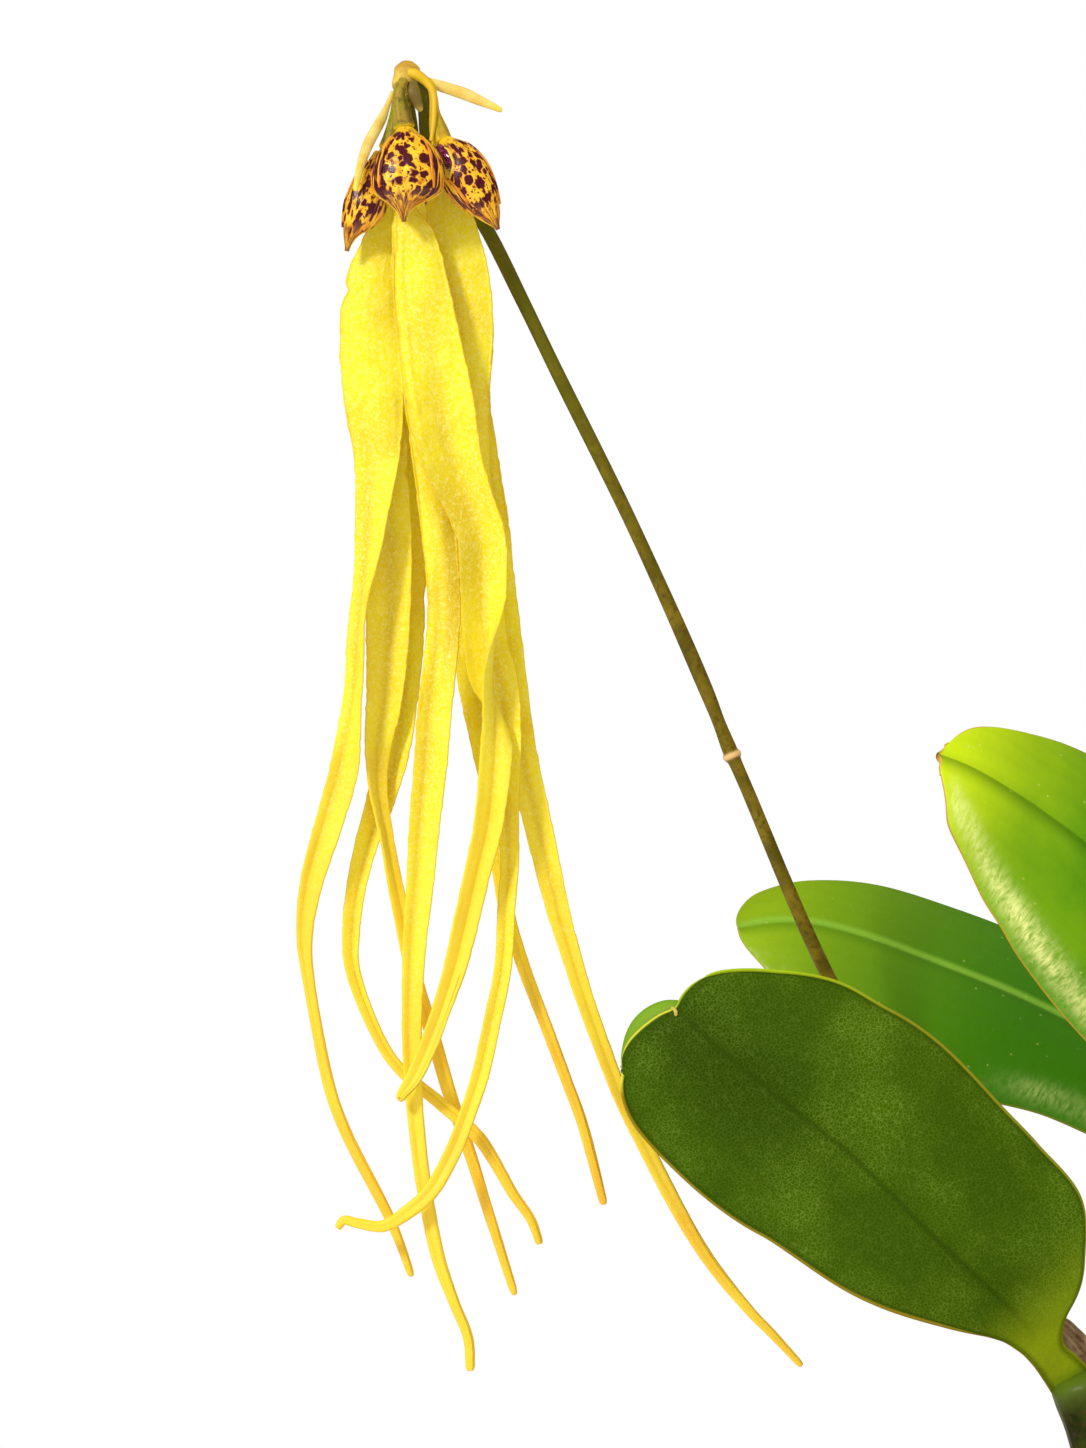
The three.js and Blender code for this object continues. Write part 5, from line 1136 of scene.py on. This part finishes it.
def hood_shape(number, sizes):
    """The sheet of a hood, whose share across is an angle between its two margins, with a rolled
    rim, and the two petals, narrow sheets that stand a little off it along those margins."""
    flower = FLOWERS[number]
    wrap, opened = flower["wrap"], flower["open"]
    thickness = sizes.hood_thickness / MM

    def sheet(first, last, angles_at, lift, petal, rows, around):
        def angle_of(t, s):
            start, end = angles_at(first + (last - first) * t, t)
            return (start + end) / 2 + (end - start) / 2 * s

        def surface(t, s):
            v = first + (last - first) * t
            roll = HOOD["petal_rim" if petal else "rim"] * np.clip((np.abs(s) - 0.8) / 0.2, 0, 1.2) ** 2
            crease = -HOOD["crease"] * np.exp(-((s / 0.12) ** 2)) * (1 - petal)
            return hood_point(number, v, angle_of(t, s), lift + roll + crease)

        def fields(t, s):
            v = first + (last - first) * t
            # every hood takes its spots from a place of its own in the pattern, 31 mm from the last
            around_mm = np.radians(angle_of(t, s)) * HOOD["radius"] + 31.0 * number
            lay = np.stack([v * HOOD["length"], around_mm, s], -1)
            return {"lay": lay, "share": v, "petal": t * 0 + petal}

        return blade(surface, thickness, rows, around, HOOD["length"] * (last - first), fields)

    def margins(v, _):
        mouth = smooth(0.0, 0.26, 0.52 - v) * smooth(0.03, 0.14, v)
        return wrap[0] + opened[0] * mouth, wrap[1] - opened[1] * mouth

    shapes = [sheet(0.0, 1.0, margins, 0.0, 0.0, *GRIDS["hood"])]
    for side in (0, 1):
        first = PETALS["from_mouth"] if opened[side] else PETALS["from"]
        middle = wrap[side] + (0.5 - side) * PETALS["wide"]

        def angles(_, share, middle=middle):
            half = 0.5 * PETALS["wide"] * np.sin(np.pi * (0.05 + 0.93 * share)) ** 0.75
            return middle - half, middle + half

        shapes.append(sheet(first, PETALS["to"], angles, PETALS["proud"], 1.0, *GRIDS["petal"]))
    return together(shapes)


class ORCHID_OT_sepals(OrchidPiece, bpy.types.Operator):
    """Lateral sepals of the four flowers, one pair to a piece"""

    bl_idname = "orchid.sepals"
    bl_label = "Lateral sepals"

    def execute(self, context):
        sizes, colours = settings(context)
        finish = sepal_tissue(colours)
        for number, pair in SEPALS.items():
            straps = [
                sepal_shape(rows, SEPAL_RELIEF[number, i], 1.7 * number + i, sizes)
                for i, rows in enumerate(pair)
            ]
            put(f"lateral_sepals_{number}", together(straps), finish, "sepal", f"sepals_{number}")
        return {"FINISHED"}


class ORCHID_OT_hoods(OrchidPiece, bpy.types.Operator):
    """Spotted hoods with their two small petals"""

    bl_idname = "orchid.hoods"
    bl_label = "Hoods"

    def execute(self, context):
        sizes, colours = settings(context)
        finish = hood_tissue(colours)
        for number in FLOWERS:
            put(f"spotted_hood_{number}", hood_shape(number, sizes), finish, "hood", f"hood_{number}")
        return {"FINISHED"}


class ORCHID_OT_lips(OrchidPiece, bpy.types.Operator):
    """Glossy lip and column in the mouth of each hood"""

    bl_idname = "orchid.lips"
    bl_label = "Lips"

    def execute(self, context):
        _, colours = settings(context)
        finish = lip_tissue(colours)
        for number, flower in FLOWERS.items():
            # three low ridges down the lip: radius times 1 + 0.12 cos 3p
            shape = tube(flower["lip"], *GRIDS["lip"], lambda t, p: 1 + 0.12 * np.cos(3 * p + 2 * t))
            put(f"purple_lip_{number}", shape, finish, "lip", f"lip_{number}")
        return {"FINISHED"}


class ORCHID_OT_ovaries(OrchidPiece, bpy.types.Operator):
    """Pedicels and ribbed ovaries that hold the flowers"""

    bl_idname = "orchid.ovaries"
    bl_label = "Ovaries"

    def execute(self, context):
        _, colours = settings(context)
        finish = ovary_skin(colours)

        def ribs(t, p):
            # six ribs that twist a little, deeper towards the flower
            return 1 + (0.02 + 0.07 * smooth(0.35, 0.7, t)) * np.cos(6 * p + 1.2 * t)

        def golden_collar(t, p):
            return {"golden": 0.75 + 0.2 * np.sin(p), "brown": 0.2 + 0 * t}

        for number, flower in FLOWERS.items():

            def fields(t, p, number=number):
                golden = 0.45 + 0.45 * (1 - smooth(0.4, 0.75, t)) + 0.3 * smooth(0.2, 0.9, -np.cos(p))
                brown = 0.6 * smooth(0.0, 0.7, np.cos(p)) * smooth(0.1, 0.4, t)
                return {"golden": np.clip(golden, 0, 1) * (number == 3), "brown": brown}

            shape = tube(flower["ovary"], *GRIDS["ovary"], ribs, fields)
            if number == 3:
                shape = together([shape, tube(COLLAR, *GRIDS["collar"], None, golden_collar)])
            put(f"pedicel_and_ovary_{number}", shape, finish, "ovary", f"ovary_{number}")
        return {"FINISHED"}


# ---------------------------------------------------------------- scape and bracts


class ORCHID_OT_scape(OrchidPiece, bpy.types.Operator):
    """Wiry scape with its ringed node, and the knob that carries the umbel"""

    bl_idname = "orchid.scape"
    bl_label = "Scape and umbel head"

    def execute(self, context):
        _, colours = settings(context)
        fine = np.linspace(0, 1, 2001)
        away = np.linalg.norm(row_at(SCAPE, fine)[:, :3] - NODE_RING["at"], axis=1)
        middle = float(arc_length(SCAPE, fine[np.argmin(away)]))

        def near_ring(t):
            # a bell with a flat top, exp(-x^4)
            return np.exp(-(((arc_length(SCAPE, t) - middle) / NODE_RING["reach"]) ** 4))

        def swell(t, p):
            ripple = 0.02 * np.sin(5 * p + 9 * t)
            return 1 + NODE_RING["swell"] * near_ring(t) + ripple + 0.02 * np.sin(60 * t)

        shape = tube(SCAPE, *GRIDS["scape"], swell, lambda t, p: {"ring": near_ring(t) + 0 * p})
        put("wiry_scape", shape, scape_skin(colours), "scape", "scape")

        # the knob: circles of a sphere's radius, lumpy by a few percent, from its top to its underside
        u = np.linspace(0, np.pi, 61)[:, None]
        p = round_angles(64)
        lumps = 1 + 0.035 * np.sin(3 * p + 1) * np.sin(u) + 0.03 * np.sin(7 * u) * np.sin(u)
        radius = KNOB["radius"] * lumps
        x, y = radius * np.sin(u) * np.cos(p), -radius * np.sin(u) * np.sin(p)
        below = np.minimum(np.cos(u), 0) * radius
        points = np.stack([x + 0.45 * below, y, radius * np.cos(u) + 0.7 * below + 0 * p], -1) + KNOB["at"]
        tones = colours.knob, colours.knob_light, colours.bract_tan
        finish = mottled("dry tan umbel head", tones, 0.5, 0.5, 0.1)[0]
        put("umbel_knob", lattice(points, POINTED), finish, "knob", "umbel_head")
        return {"FINISHED"}


class ORCHID_OT_bracts(OrchidPiece, bpy.types.Operator):
    """Papery floral bracts under the umbel"""

    bl_idname = "orchid.bracts"
    bl_label = "Bracts"

    def execute(self, context):
        sizes, colours = settings(context)
        finish = bract_paper(colours)
        for name, rows in BRACTS.items():
            size = float(arc_length(rows, 1.0))

            def surface(t, s, rows=rows, size=size):
                # straight across by the share of the half width, crowned as 0.16 widths times 1 - s^2
                width = row_at(rows, t)[..., 3] * rounded((t * size - size + ENDS["bract"]) / ENDS["bract"])
                lift = 0.16 * width * (1 - s**2) + 0.06 * np.sin(t * 14) * s
                return beside(rows, t, s * width / 2, lift)

            def fields(t, s, rows=rows, name=name):
                lay = np.stack([arc_length(rows, t), s * row_at(rows, t)[..., 3] / 2, s], -1)
                dark = (name == "bract_front") * (0.95 - 0.5 * smooth(0.6, 1.0, t))
                return {"lay": lay, "share": t, "dark": dark + 0 * t}

            shape = blade(surface, sizes.bract_thickness / MM, *GRIDS["bract"], size, fields)
            put("papery_" + name, shape, finish, "bract", name)
        return {"FINISHED"}


# ---------------------------------------------------------------- leaves and bulbs


def leaf_shape(number, sizes):
    """One leaf. Each half bends round a cylinder of the leaf's arch radius, so that a point w from
    the midrib lies arch sin(w / arch) across and arch (1 - cos(w / arch)) back; the midrib is a
    groove or keel with a bell section, and the tip's two lobes pass its notch."""
    leaf = LEAVES[number]
    rows, arch, groove = leaf["rows"], leaf["arch"], leaf["groove"]
    size = float(arc_length(rows, 1.0))

    def surface(t, s):
        row = row_at(rows, t)
        lower, upper = row[..., 3], row[..., 4]
        right, normal = turned_frame(rows, t, -row[..., 5])
        near_tip = np.clip((t - LEAF_TIP) / 0.07, 0, 1) ** 2
        round_off = np.where(s < 0, leaf["corners"][1], leaf["corners"][0]) * near_tip
        offset = np.where(s > 0, s * lower, s * upper) * np.sqrt(1 - round_off)
        angle, width = offset / arch, np.abs(offset)
        crease = groove * np.exp(-((width / 1.5) ** 2)) * np.minimum(1, lower / 10)
        reach = np.clip(np.abs(s), 0, 1)
        left, right_lobe = (row_at([[step] for step in lobe], reach)[..., 0] for lobe in leaf["lobes"])
        notch = np.where(s > 0, left, right_lobe) + leaf["mucro"] * np.exp(-((width / 0.8) ** 2))
        travelled = arc_length(rows, t)
        broad = smooth(4, 16, lower)
        ripple = 0.3 * broad * np.sin(travelled / 8 + number) * reach**2
        ripple = ripple + 0.1 * broad * np.sin(offset / 2.6 + 0.5 * np.sin(travelled / 17))
        rolled = leaf["roll"] * broad * np.clip((reach - 0.93) / 0.07, 0, 1) ** 2
        back = arch * (1 - np.cos(angle)) + crease - ripple - rolled
        ahead = notch * np.clip((t - 0.86) / 0.14, 0, 1) ** 2
        along = unit(row_at(rows, np.minimum(t + 0.01, 1))[..., :3] - row_at(rows, t - 0.01)[..., :3])
        sideways = arch * np.sin(angle)
        place = row[..., :3] + right * sideways[..., None] + along * ahead[..., None]
        return place - normal * back[..., None]

    def fields(t, s):
        row = row_at(rows, t)
        across = np.where(s > 0, s * row[..., 3], s * row[..., 4])
        lay = np.stack([arc_length(rows, t), across, s], -1)
        reach = np.where(s > 0, row[..., 3], row[..., 4]) * (1 - np.abs(s))
        edge = np.minimum(reach, (1 - t) * size * leaf["end"])
        start, most = leaf["bright"]
        bright = most * smooth(start, 1.0, t)
        # a painted sheen: a band about 3.8 mm inside the lower margin
        first, last, shine = leaf["gloss"]
        shown = smooth(first, first + 0.14, t) * (1 - smooth(last - 0.08, last, t))
        gloss = np.exp(-(((edge - 3.8) / 2.2) ** 2)) * (s > 0) * shown * shine
        peg = np.exp(-((across / 1.1) ** 2)) * smooth(0.985, 1, t) * (leaf["mucro"] > 0)
        # painted shade, darker down the middle towards the tip; only the underside uses it
        dusk = np.exp(-(((across - 2) / 11) ** 2)) * smooth(0.55, 0.85, t)
        return {
            "lay": lay, "share": t, "hue": t * 0 + (number == 2), "edge": edge, "bright": bright,
            "gloss": gloss, "peg": peg, "dusk": dusk
        }

    return blade(surface, sizes.leaf_thickness / MM, *GRIDS["leaf"], size, fields)


def rolled_lobe(sizes):
    """The back of the front leaf's rolled lobe: a sheet across its midline by the share of the half
    width, crowned as 0.12 widths times 1 - s^2. Its curl rises from 0.2 inside to 1 outside. It paints
    the lobe darker inside as shade and paler outside as sheen."""
    size = float(arc_length(LOBE_ROLL, 1.0))

    def surface(t, s):
        width = row_at(LOBE_ROLL, t)[..., 3] * rounded((t - LEAF_TIP) / 0.07)
        return beside(LOBE_ROLL, t, s * width / 2, 0.12 * width * (1 - s**2))

    def fields(t, s):
        lay = np.stack([arc_length(LOBE_ROLL, t), s, s], -1)
        return {"lay": lay, "share": 0.9 + 0 * t, "edge": 9 + 0 * t, "curl": 0.6 + 0.4 * s}

    return blade(surface, 0.7 * sizes.leaf_thickness / MM, *GRIDS["lobe"], size, fields)


def bulb_shape(name):
    """A pseudobulb: circles from foot to top by its own outline, with five broad ribs that fade at
    both ends and finer wrinkles between them."""
    bulb = BULBS[name]
    outline = BULB_OUTLINES[bulb["outline"]]
    foot, top = np.array(bulb["foot"]), np.array(bulb["top"])
    shares = np.linspace(0, 1, len(outline))[:, None]
    rows = np.hstack([foot + (top - foot) * shares, bulb["radius"] * np.array(outline)[:, None]])

    def swell(t, p):
        ribs = BULB_RIBS["depth"] * (1 + np.cos(BULB_RIBS["count"] * p)) * np.sin(np.pi * t)
        wrinkles = 0.012 * np.sin(23 * p + 3 * np.sin(6 * t)) * np.sin(np.pi * t)
        return 1 - ribs + wrinkles

    return tube(rows, *GRIDS["bulb"], swell)


class ORCHID_OT_leaves(OrchidPiece, bpy.types.Operator):
    """The three leathery leaves with their petioles"""

    bl_idname = "orchid.leaves"
    bl_label = "Leaves"

    def execute(self, context):
        sizes, colours = settings(context)
        upper, under = leaf_upper(colours), leaf_underside(colours)
        for number, name in ((1, "front_leaf"), (2, "rear_leaf"), (3, "right_leaf")):
            finish, slot = (under, "leaf_underside") if number == 1 else (upper, "leaf")
            shape = leaf_shape(number, sizes)
            if number == 1:
                peg = tube(LEAF_PEG, *GRIDS["peg"], None, lambda t, p: {"peg": 1 + 0 * t, "edge": 9 + 0 * t})
                shape = together([shape, rolled_lobe(sizes), peg])
            put(name, shape, finish, slot, f"leaf_{number}")
        return {"FINISHED"}


class ORCHID_OT_bulbs(OrchidPiece, bpy.types.Operator):
    """Pseudobulbs, the shrivelled old one, and the rhizome with its roots"""

    bl_idname = "orchid.bulbs"
    bl_label = "Pseudobulbs and rhizome"

    def execute(self, context):
        _, colours = settings(context)
        tones = colours.bulb, colours.bulb_light, colours.bulb_brown
        green, node = mottled("waxy pseudobulb", tones, 1.1, 0.42, 0.15)
        # fresh green under the leaf, gone within a few millimetres
        share = node("SeparateXYZ", (node("Attribute", out=1, attribute_name="lay"),), 2)
        dress(green, [(node("MapRange", (share, 0.84, 0.99, 0.0, 0.9), **EASED), "#587218")])
        for name in BULBS:
            put("green_" + name, bulb_shape(name), green, "bulb", name)

        def shrivel(t, p):
            # deep uneven folds along the dry bulb
            return 1 + 0.1 * np.sin(7 * p + 2 * np.sin(5 * t)) + 0.04 * np.sin(17 * p + 9 * t)

        tones = colours.husk, colours.husk_light, colours.husk_dark
        dry = mottled("papery old husk", tones, 0.9, 0.8, 0.25)[0]
        shape = tube(OLD_BULB, *GRIDS["old_bulb"], shrivel)
        put("shrivelled_old_bulb", shape, dry, "old_bulb", "old_pseudobulb")

        def scales(t, p):
            # overlapping dry scales on the rhizome, one every 4 mm or so
            return 1 + 0.07 * np.sin(90 * t + p) + 0.03 * np.sin(9 * p)

        def wavy(t, p):
            return 1 + 0.06 * np.sin(40 * t + 2 * p)

        stems = [tube(rows, *GRIDS["rhizome"], scales) for rows in RHIZOMES]
        roots = [tube(rows, *GRIDS["root"], wavy) for rows in ROOTS]
        tones = colours.ovary_dark, colours.husk_light, colours.husk_dark
        fibre = mottled("fibrous rhizome", tones, 0.7, 0.85, 0.2)[0]
        put("creeping_rhizome", together(stems + roots), fibre, "rhizome", "rhizome")
        return {"FINISHED"}


# ---------------------------------------------------------------- pot and bark


class ORCHID_OT_pot(OrchidPiece, bpy.types.Operator):
    """Plain clay pot with a rim band and drainage holes"""

    bl_idname = "orchid.pot"
    bl_label = "Clay pot"

    def execute(self, context):
        sizes, colours = settings(context)
        rim, foot, height = sizes.pot_rim / MM, sizes.pot_foot / MM, sizes.pot_height / MM
        slope = (rim - POT["overhang"] - foot) / height
        wall, base, band = POT["wall"], POT["floor"], height - POT["band"]
        # half of its section: the foot, the outside, the rim band, the rounded rim and the inside
        corners = np.array(
            [
                [0, 0], [foot - 1.2, 0], [foot - 0.3, 0.3], [foot, 1.2], [foot + slope * band, band],
                [rim - 1.2, band + 0.1], [rim - 0.4, band + 0.5], [rim - 0.1, band + 1.3], [rim, height - 2],
                [rim - 0.5, height - 0.6], [rim - 1.6, height], [rim - 3.4, height],
                [rim - wall + 0.5, height - 0.5], [rim - wall, height - 1.6],
                [foot - wall + slope * (base + 2), base + 2], [foot - wall - 2 + slope * base, base],
                [0, base]
            ]
        )
        # each straight of the section is cut into short steps and carried round the axis
        pieces = [np.linspace(a, b, 13)[:-1] for a, b in zip(corners[:-1], corners[1:])]
        profile = np.concatenate(pieces + [corners[-1:]])
        p = round_angles(160)
        radius, level = profile[:, :1], profile[:, 1:]
        points = np.stack([radius * np.cos(p), -radius * np.sin(p), level + 0 * p], -1)
        pot = put("clay_pot", lattice(points[::-1], POINTED), terracotta(colours), "clay", "pot")

        # each hole is cut by a short cylinder that passes the floor on both sides
        spots = np.pi / 2 * (np.arange(POT["holes"]) + 0.5)
        rings = np.array([[-2.0, 0.001], [-2.0, POT["hole"]], [base + 2.0, POT["hole"]], [base + 2.0, 0.001]])
        q = round_angles(32)
        for x, y in zip(POT["circle"] * np.cos(spots), POT["circle"] * np.sin(spots)):
            around = np.stack(
                [x + rings[:, 1:] * np.cos(q), y + rings[:, 1:] * np.sin(q), rings[:, :1] + 0 * q], -1
            )
            core = lattice(around, POINTED)
            drill = linked("drill", mesh_of("drill", core["points"] * MM, core["triangles"]))
            cut = pot.modifiers.new("hole", "BOOLEAN")
            cut.operation = "DIFFERENCE"
            cut.solver = "EXACT"
            cut.object = drill
            context.view_layer.update()
            made = bpy.data.meshes.new_from_object(pot.evaluated_get(context.evaluated_depsgraph_get()))
            pot.modifiers.clear()
            pot.data = made
            bpy.data.objects.remove(drill)
        return {"FINISHED"}


class ORCHID_OT_bark(OrchidPiece, bpy.types.Operator):
    """Bark: the bed in the pot and the loose chips on it"""

    bl_idname = "orchid.bark"
    bl_label = "Bark"

    def execute(self, context):
        sizes, colours = settings(context)
        tones = colours.bark, colours.bark_light, colours.bark_dark
        bark = mottled("dry fir bark", tones, 1.4, 0.9, 0.5)[0]
        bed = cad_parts["bark_medium"]
        bed.data.materials.clear()
        bed.data.materials.append(bark)

        # a chip is a short tube of a few rings, squared off: each corner of it is the sine and cosine
        # to the power 0.5, drawn out to its own length, width and height, then tilted
        random = np.random.default_rng(CHIPS["seed"])
        count, steps, around = sizes.chips, CHIPS["rings"], CHIPS["corners"]
        u = np.linspace(-1, 1, steps)[None, :, None]
        p = round_angles(around)
        size = sizes.chip / MM * (0.55 + 0.75 * random.random((count, 1, 1)))
        half_long, half_wide, half_high = (half * size for half in CHIPS["halves"])
        uneven = 1 + 0.22 * random.standard_normal((count, steps, 1)) * (1 - u**2)
        taper = (1 - np.abs(u) ** 4 * 0.999) ** 0.5 * uneven
        rough = 1 + 0.1 * random.standard_normal((count, steps, around))
        x = half_long * u * (1 + 0 * p)
        y = half_wide * taper * boxy(np.cos(p), 0.5) * rough
        z = half_high * taper * boxy(np.sin(p), 0.5) * rough
        points = np.stack(np.broadcast_arrays(x, y, z), -1)
        turn = random.random(count) * 2 * np.pi
        lean = 0.35 * random.standard_normal(count)
        cosine, sine = np.cos(turn), np.sin(turn)
        zero, one = np.zeros(count), np.ones(count)
        about_z = np.array([[cosine, -sine, zero], [sine, cosine, zero], [zero, zero, one]])
        cosine, sine = np.cos(lean), np.sin(lean)
        about_y = np.array([[cosine, zero, sine], [zero, one, zero], [-sine, zero, cosine]])
        tilted = about_z.transpose(2, 0, 1) @ about_y.transpose(2, 0, 1)
        points = np.einsum("cij,crkj->crki", tilted, points)
        reach = sizes.pot_rim / MM - CHIPS["inset"]
        out = reach * np.sqrt(random.random(count))
        bearing = random.random(count) * 2 * np.pi
        level = CHIPS["level"] + 1.4 * random.random(count) - 0.6 * (out / reach) ** 2
        centre = np.stack([out * np.cos(bearing), out * np.sin(bearing), level], -1)
        points = points + centre[:, None, None, :]
        points[..., 2] = np.minimum(points[..., 2], CHIPS["lid"])
        # all chips share one chip's triangles, whose end rings are a single corner each
        one_chip = lattice(points[0], POINTED)
        flat = points.reshape(count, -1, 3)
        picked = np.concatenate([flat[:, :1], flat[:, around:-around], flat[:, -around, None]], axis=1)
        starts = np.arange(count)[:, None, None] * len(one_chip["points"])
        triangles = (one_chip["triangles"][None] + starts).reshape(-1, 3)
        put("bark_chips", {"points": picked.reshape(-1, 3), "triangles": triangles}, bark, "bark")
        return {"FINISHED"}


# ---------------------------------------------------------------- stage


class ORCHID_OT_stage(OrchidPiece, bpy.types.Operator):
    """Pale floor, soft studio light and the camera"""

    bl_idname = "orchid.stage"
    bl_label = "Stage"

    def execute(self, context):
        _, colours = settings(context)
        scene = context.scene
        p = round_angles(128)
        rim = FLOOR_RADIUS * np.stack([np.cos(p), np.sin(p), 0 * p], -1)
        floor = linked("floor", mesh_of("floor", rim, [tuple(range(len(rim)))]))
        finish, node = new_finish("matte studio floor", Roughness=0.9)
        paper = node("TexNoise", {"Vector": node("TexCoord", out=3), "Scale": per_mm(60)})
        shade = node("MapRange", (paper, 0.0, 1.0, 0.0, 0.06))
        dress(finish, [(shade, "#D8D6D0")], ground=colours.floor)
        floor.data.materials.append(finish)

        camera = bpy.data.cameras.new("camera")
        camera.sensor_fit = "VERTICAL"
        camera.sensor_height = VIEW["sensor"]
        camera.lens = VIEW["sensor"] * VIEW["distance"] / VIEW["height"]
        camera.clip_start = 0.01
        view = linked("camera", camera)
        view.location = (VIEW["x"] * MM, -VIEW["distance"] * MM, VIEW["z"] * MM)
        view.rotation_euler = (math.radians(90), 0.0, 0.0)
        scene.camera = view

        for name, (place, size, power, shows) in LAMPS.items():
            lamp = bpy.data.lights.new(name, "AREA")
            lamp.shape = "DISK"
            lamp.size = size
            lamp.energy = power
            light = linked(name, lamp)
            light.location = place
            light.rotation_euler = (Vector(LIT) - Vector(place)).to_track_quat("-Z", "Y").to_euler()
            light.visible_glossy = shows

        # the studio's walls are seen at full white and light the plant at a part of that
        world = bpy.data.worlds.new("white studio")
        world.use_nodes = True
        tree = world.node_tree
        walls = tree.nodes["Background"].inputs
        gloss = add(tree, "LightPath", out=3)
        seen = add(tree, "LightPath")
        soft = add(tree, "MapRange", (gloss, 0.0, 1.0, 0.8, 0.06))
        strength = add(tree, "Mix", {0: seen, 2: soft, 3: 1.0}, data_type="FLOAT")
        warm = add(tree, "Mix", {0: seen, 6: linear("#FFF4DC"), 7: linear("#FFFFFF")}, 2, data_type="RGBA")
        tree.links.new(strength, walls["Strength"])
        tree.links.new(warm, walls["Color"])
        scene.world = world
        scene.view_settings.view_transform = "Standard"
        scene.view_settings.look = "None"
        return {"FINISHED"}


# ---------------------------------------------------------------- the add-on

PIECES = (
    ORCHID_OT_stage, ORCHID_OT_pot, ORCHID_OT_bark, ORCHID_OT_bulbs, ORCHID_OT_leaves, ORCHID_OT_scape,
    ORCHID_OT_bracts, ORCHID_OT_ovaries, ORCHID_OT_hoods, ORCHID_OT_lips, ORCHID_OT_sepals
)


class ORCHID_PT_panel(bpy.types.Panel):
    """Lists the pieces, and the sizes and colours they are made with"""

    bl_idname = "ORCHID_PT_panel"
    bl_label = "Orchid"
    bl_space_type = "VIEW_3D"
    bl_region_type = "UI"
    bl_category = "Orchid"

    def draw(self, context):
        sizes, colours = settings(context)
        for piece in PIECES:
            self.layout.operator(piece.bl_idname)
        for group in (sizes, colours):
            column = self.layout.column()
            for name in group.__annotations__:
                column.prop(group, name)


CLASSES = (OrchidSizes, OrchidColours, *PIECES, ORCHID_PT_panel)


def register():
    for each in CLASSES:
        bpy.utils.register_class(each)
    bpy.types.Scene.orchid_sizes = bpy.props.PointerProperty(type=OrchidSizes)
    bpy.types.Scene.orchid_colours = bpy.props.PointerProperty(type=OrchidColours)


def unregister():
    del bpy.types.Scene.orchid_colours
    del bpy.types.Scene.orchid_sizes
    for each in reversed(CLASSES):
        bpy.utils.unregister_class(each)


def main():
    """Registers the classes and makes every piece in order."""
    register()
    for piece in PIECES:
        group, name = piece.bl_idname.split(".")
        getattr(getattr(bpy.ops, group), name)()


if __name__ == "__main__":
    main()
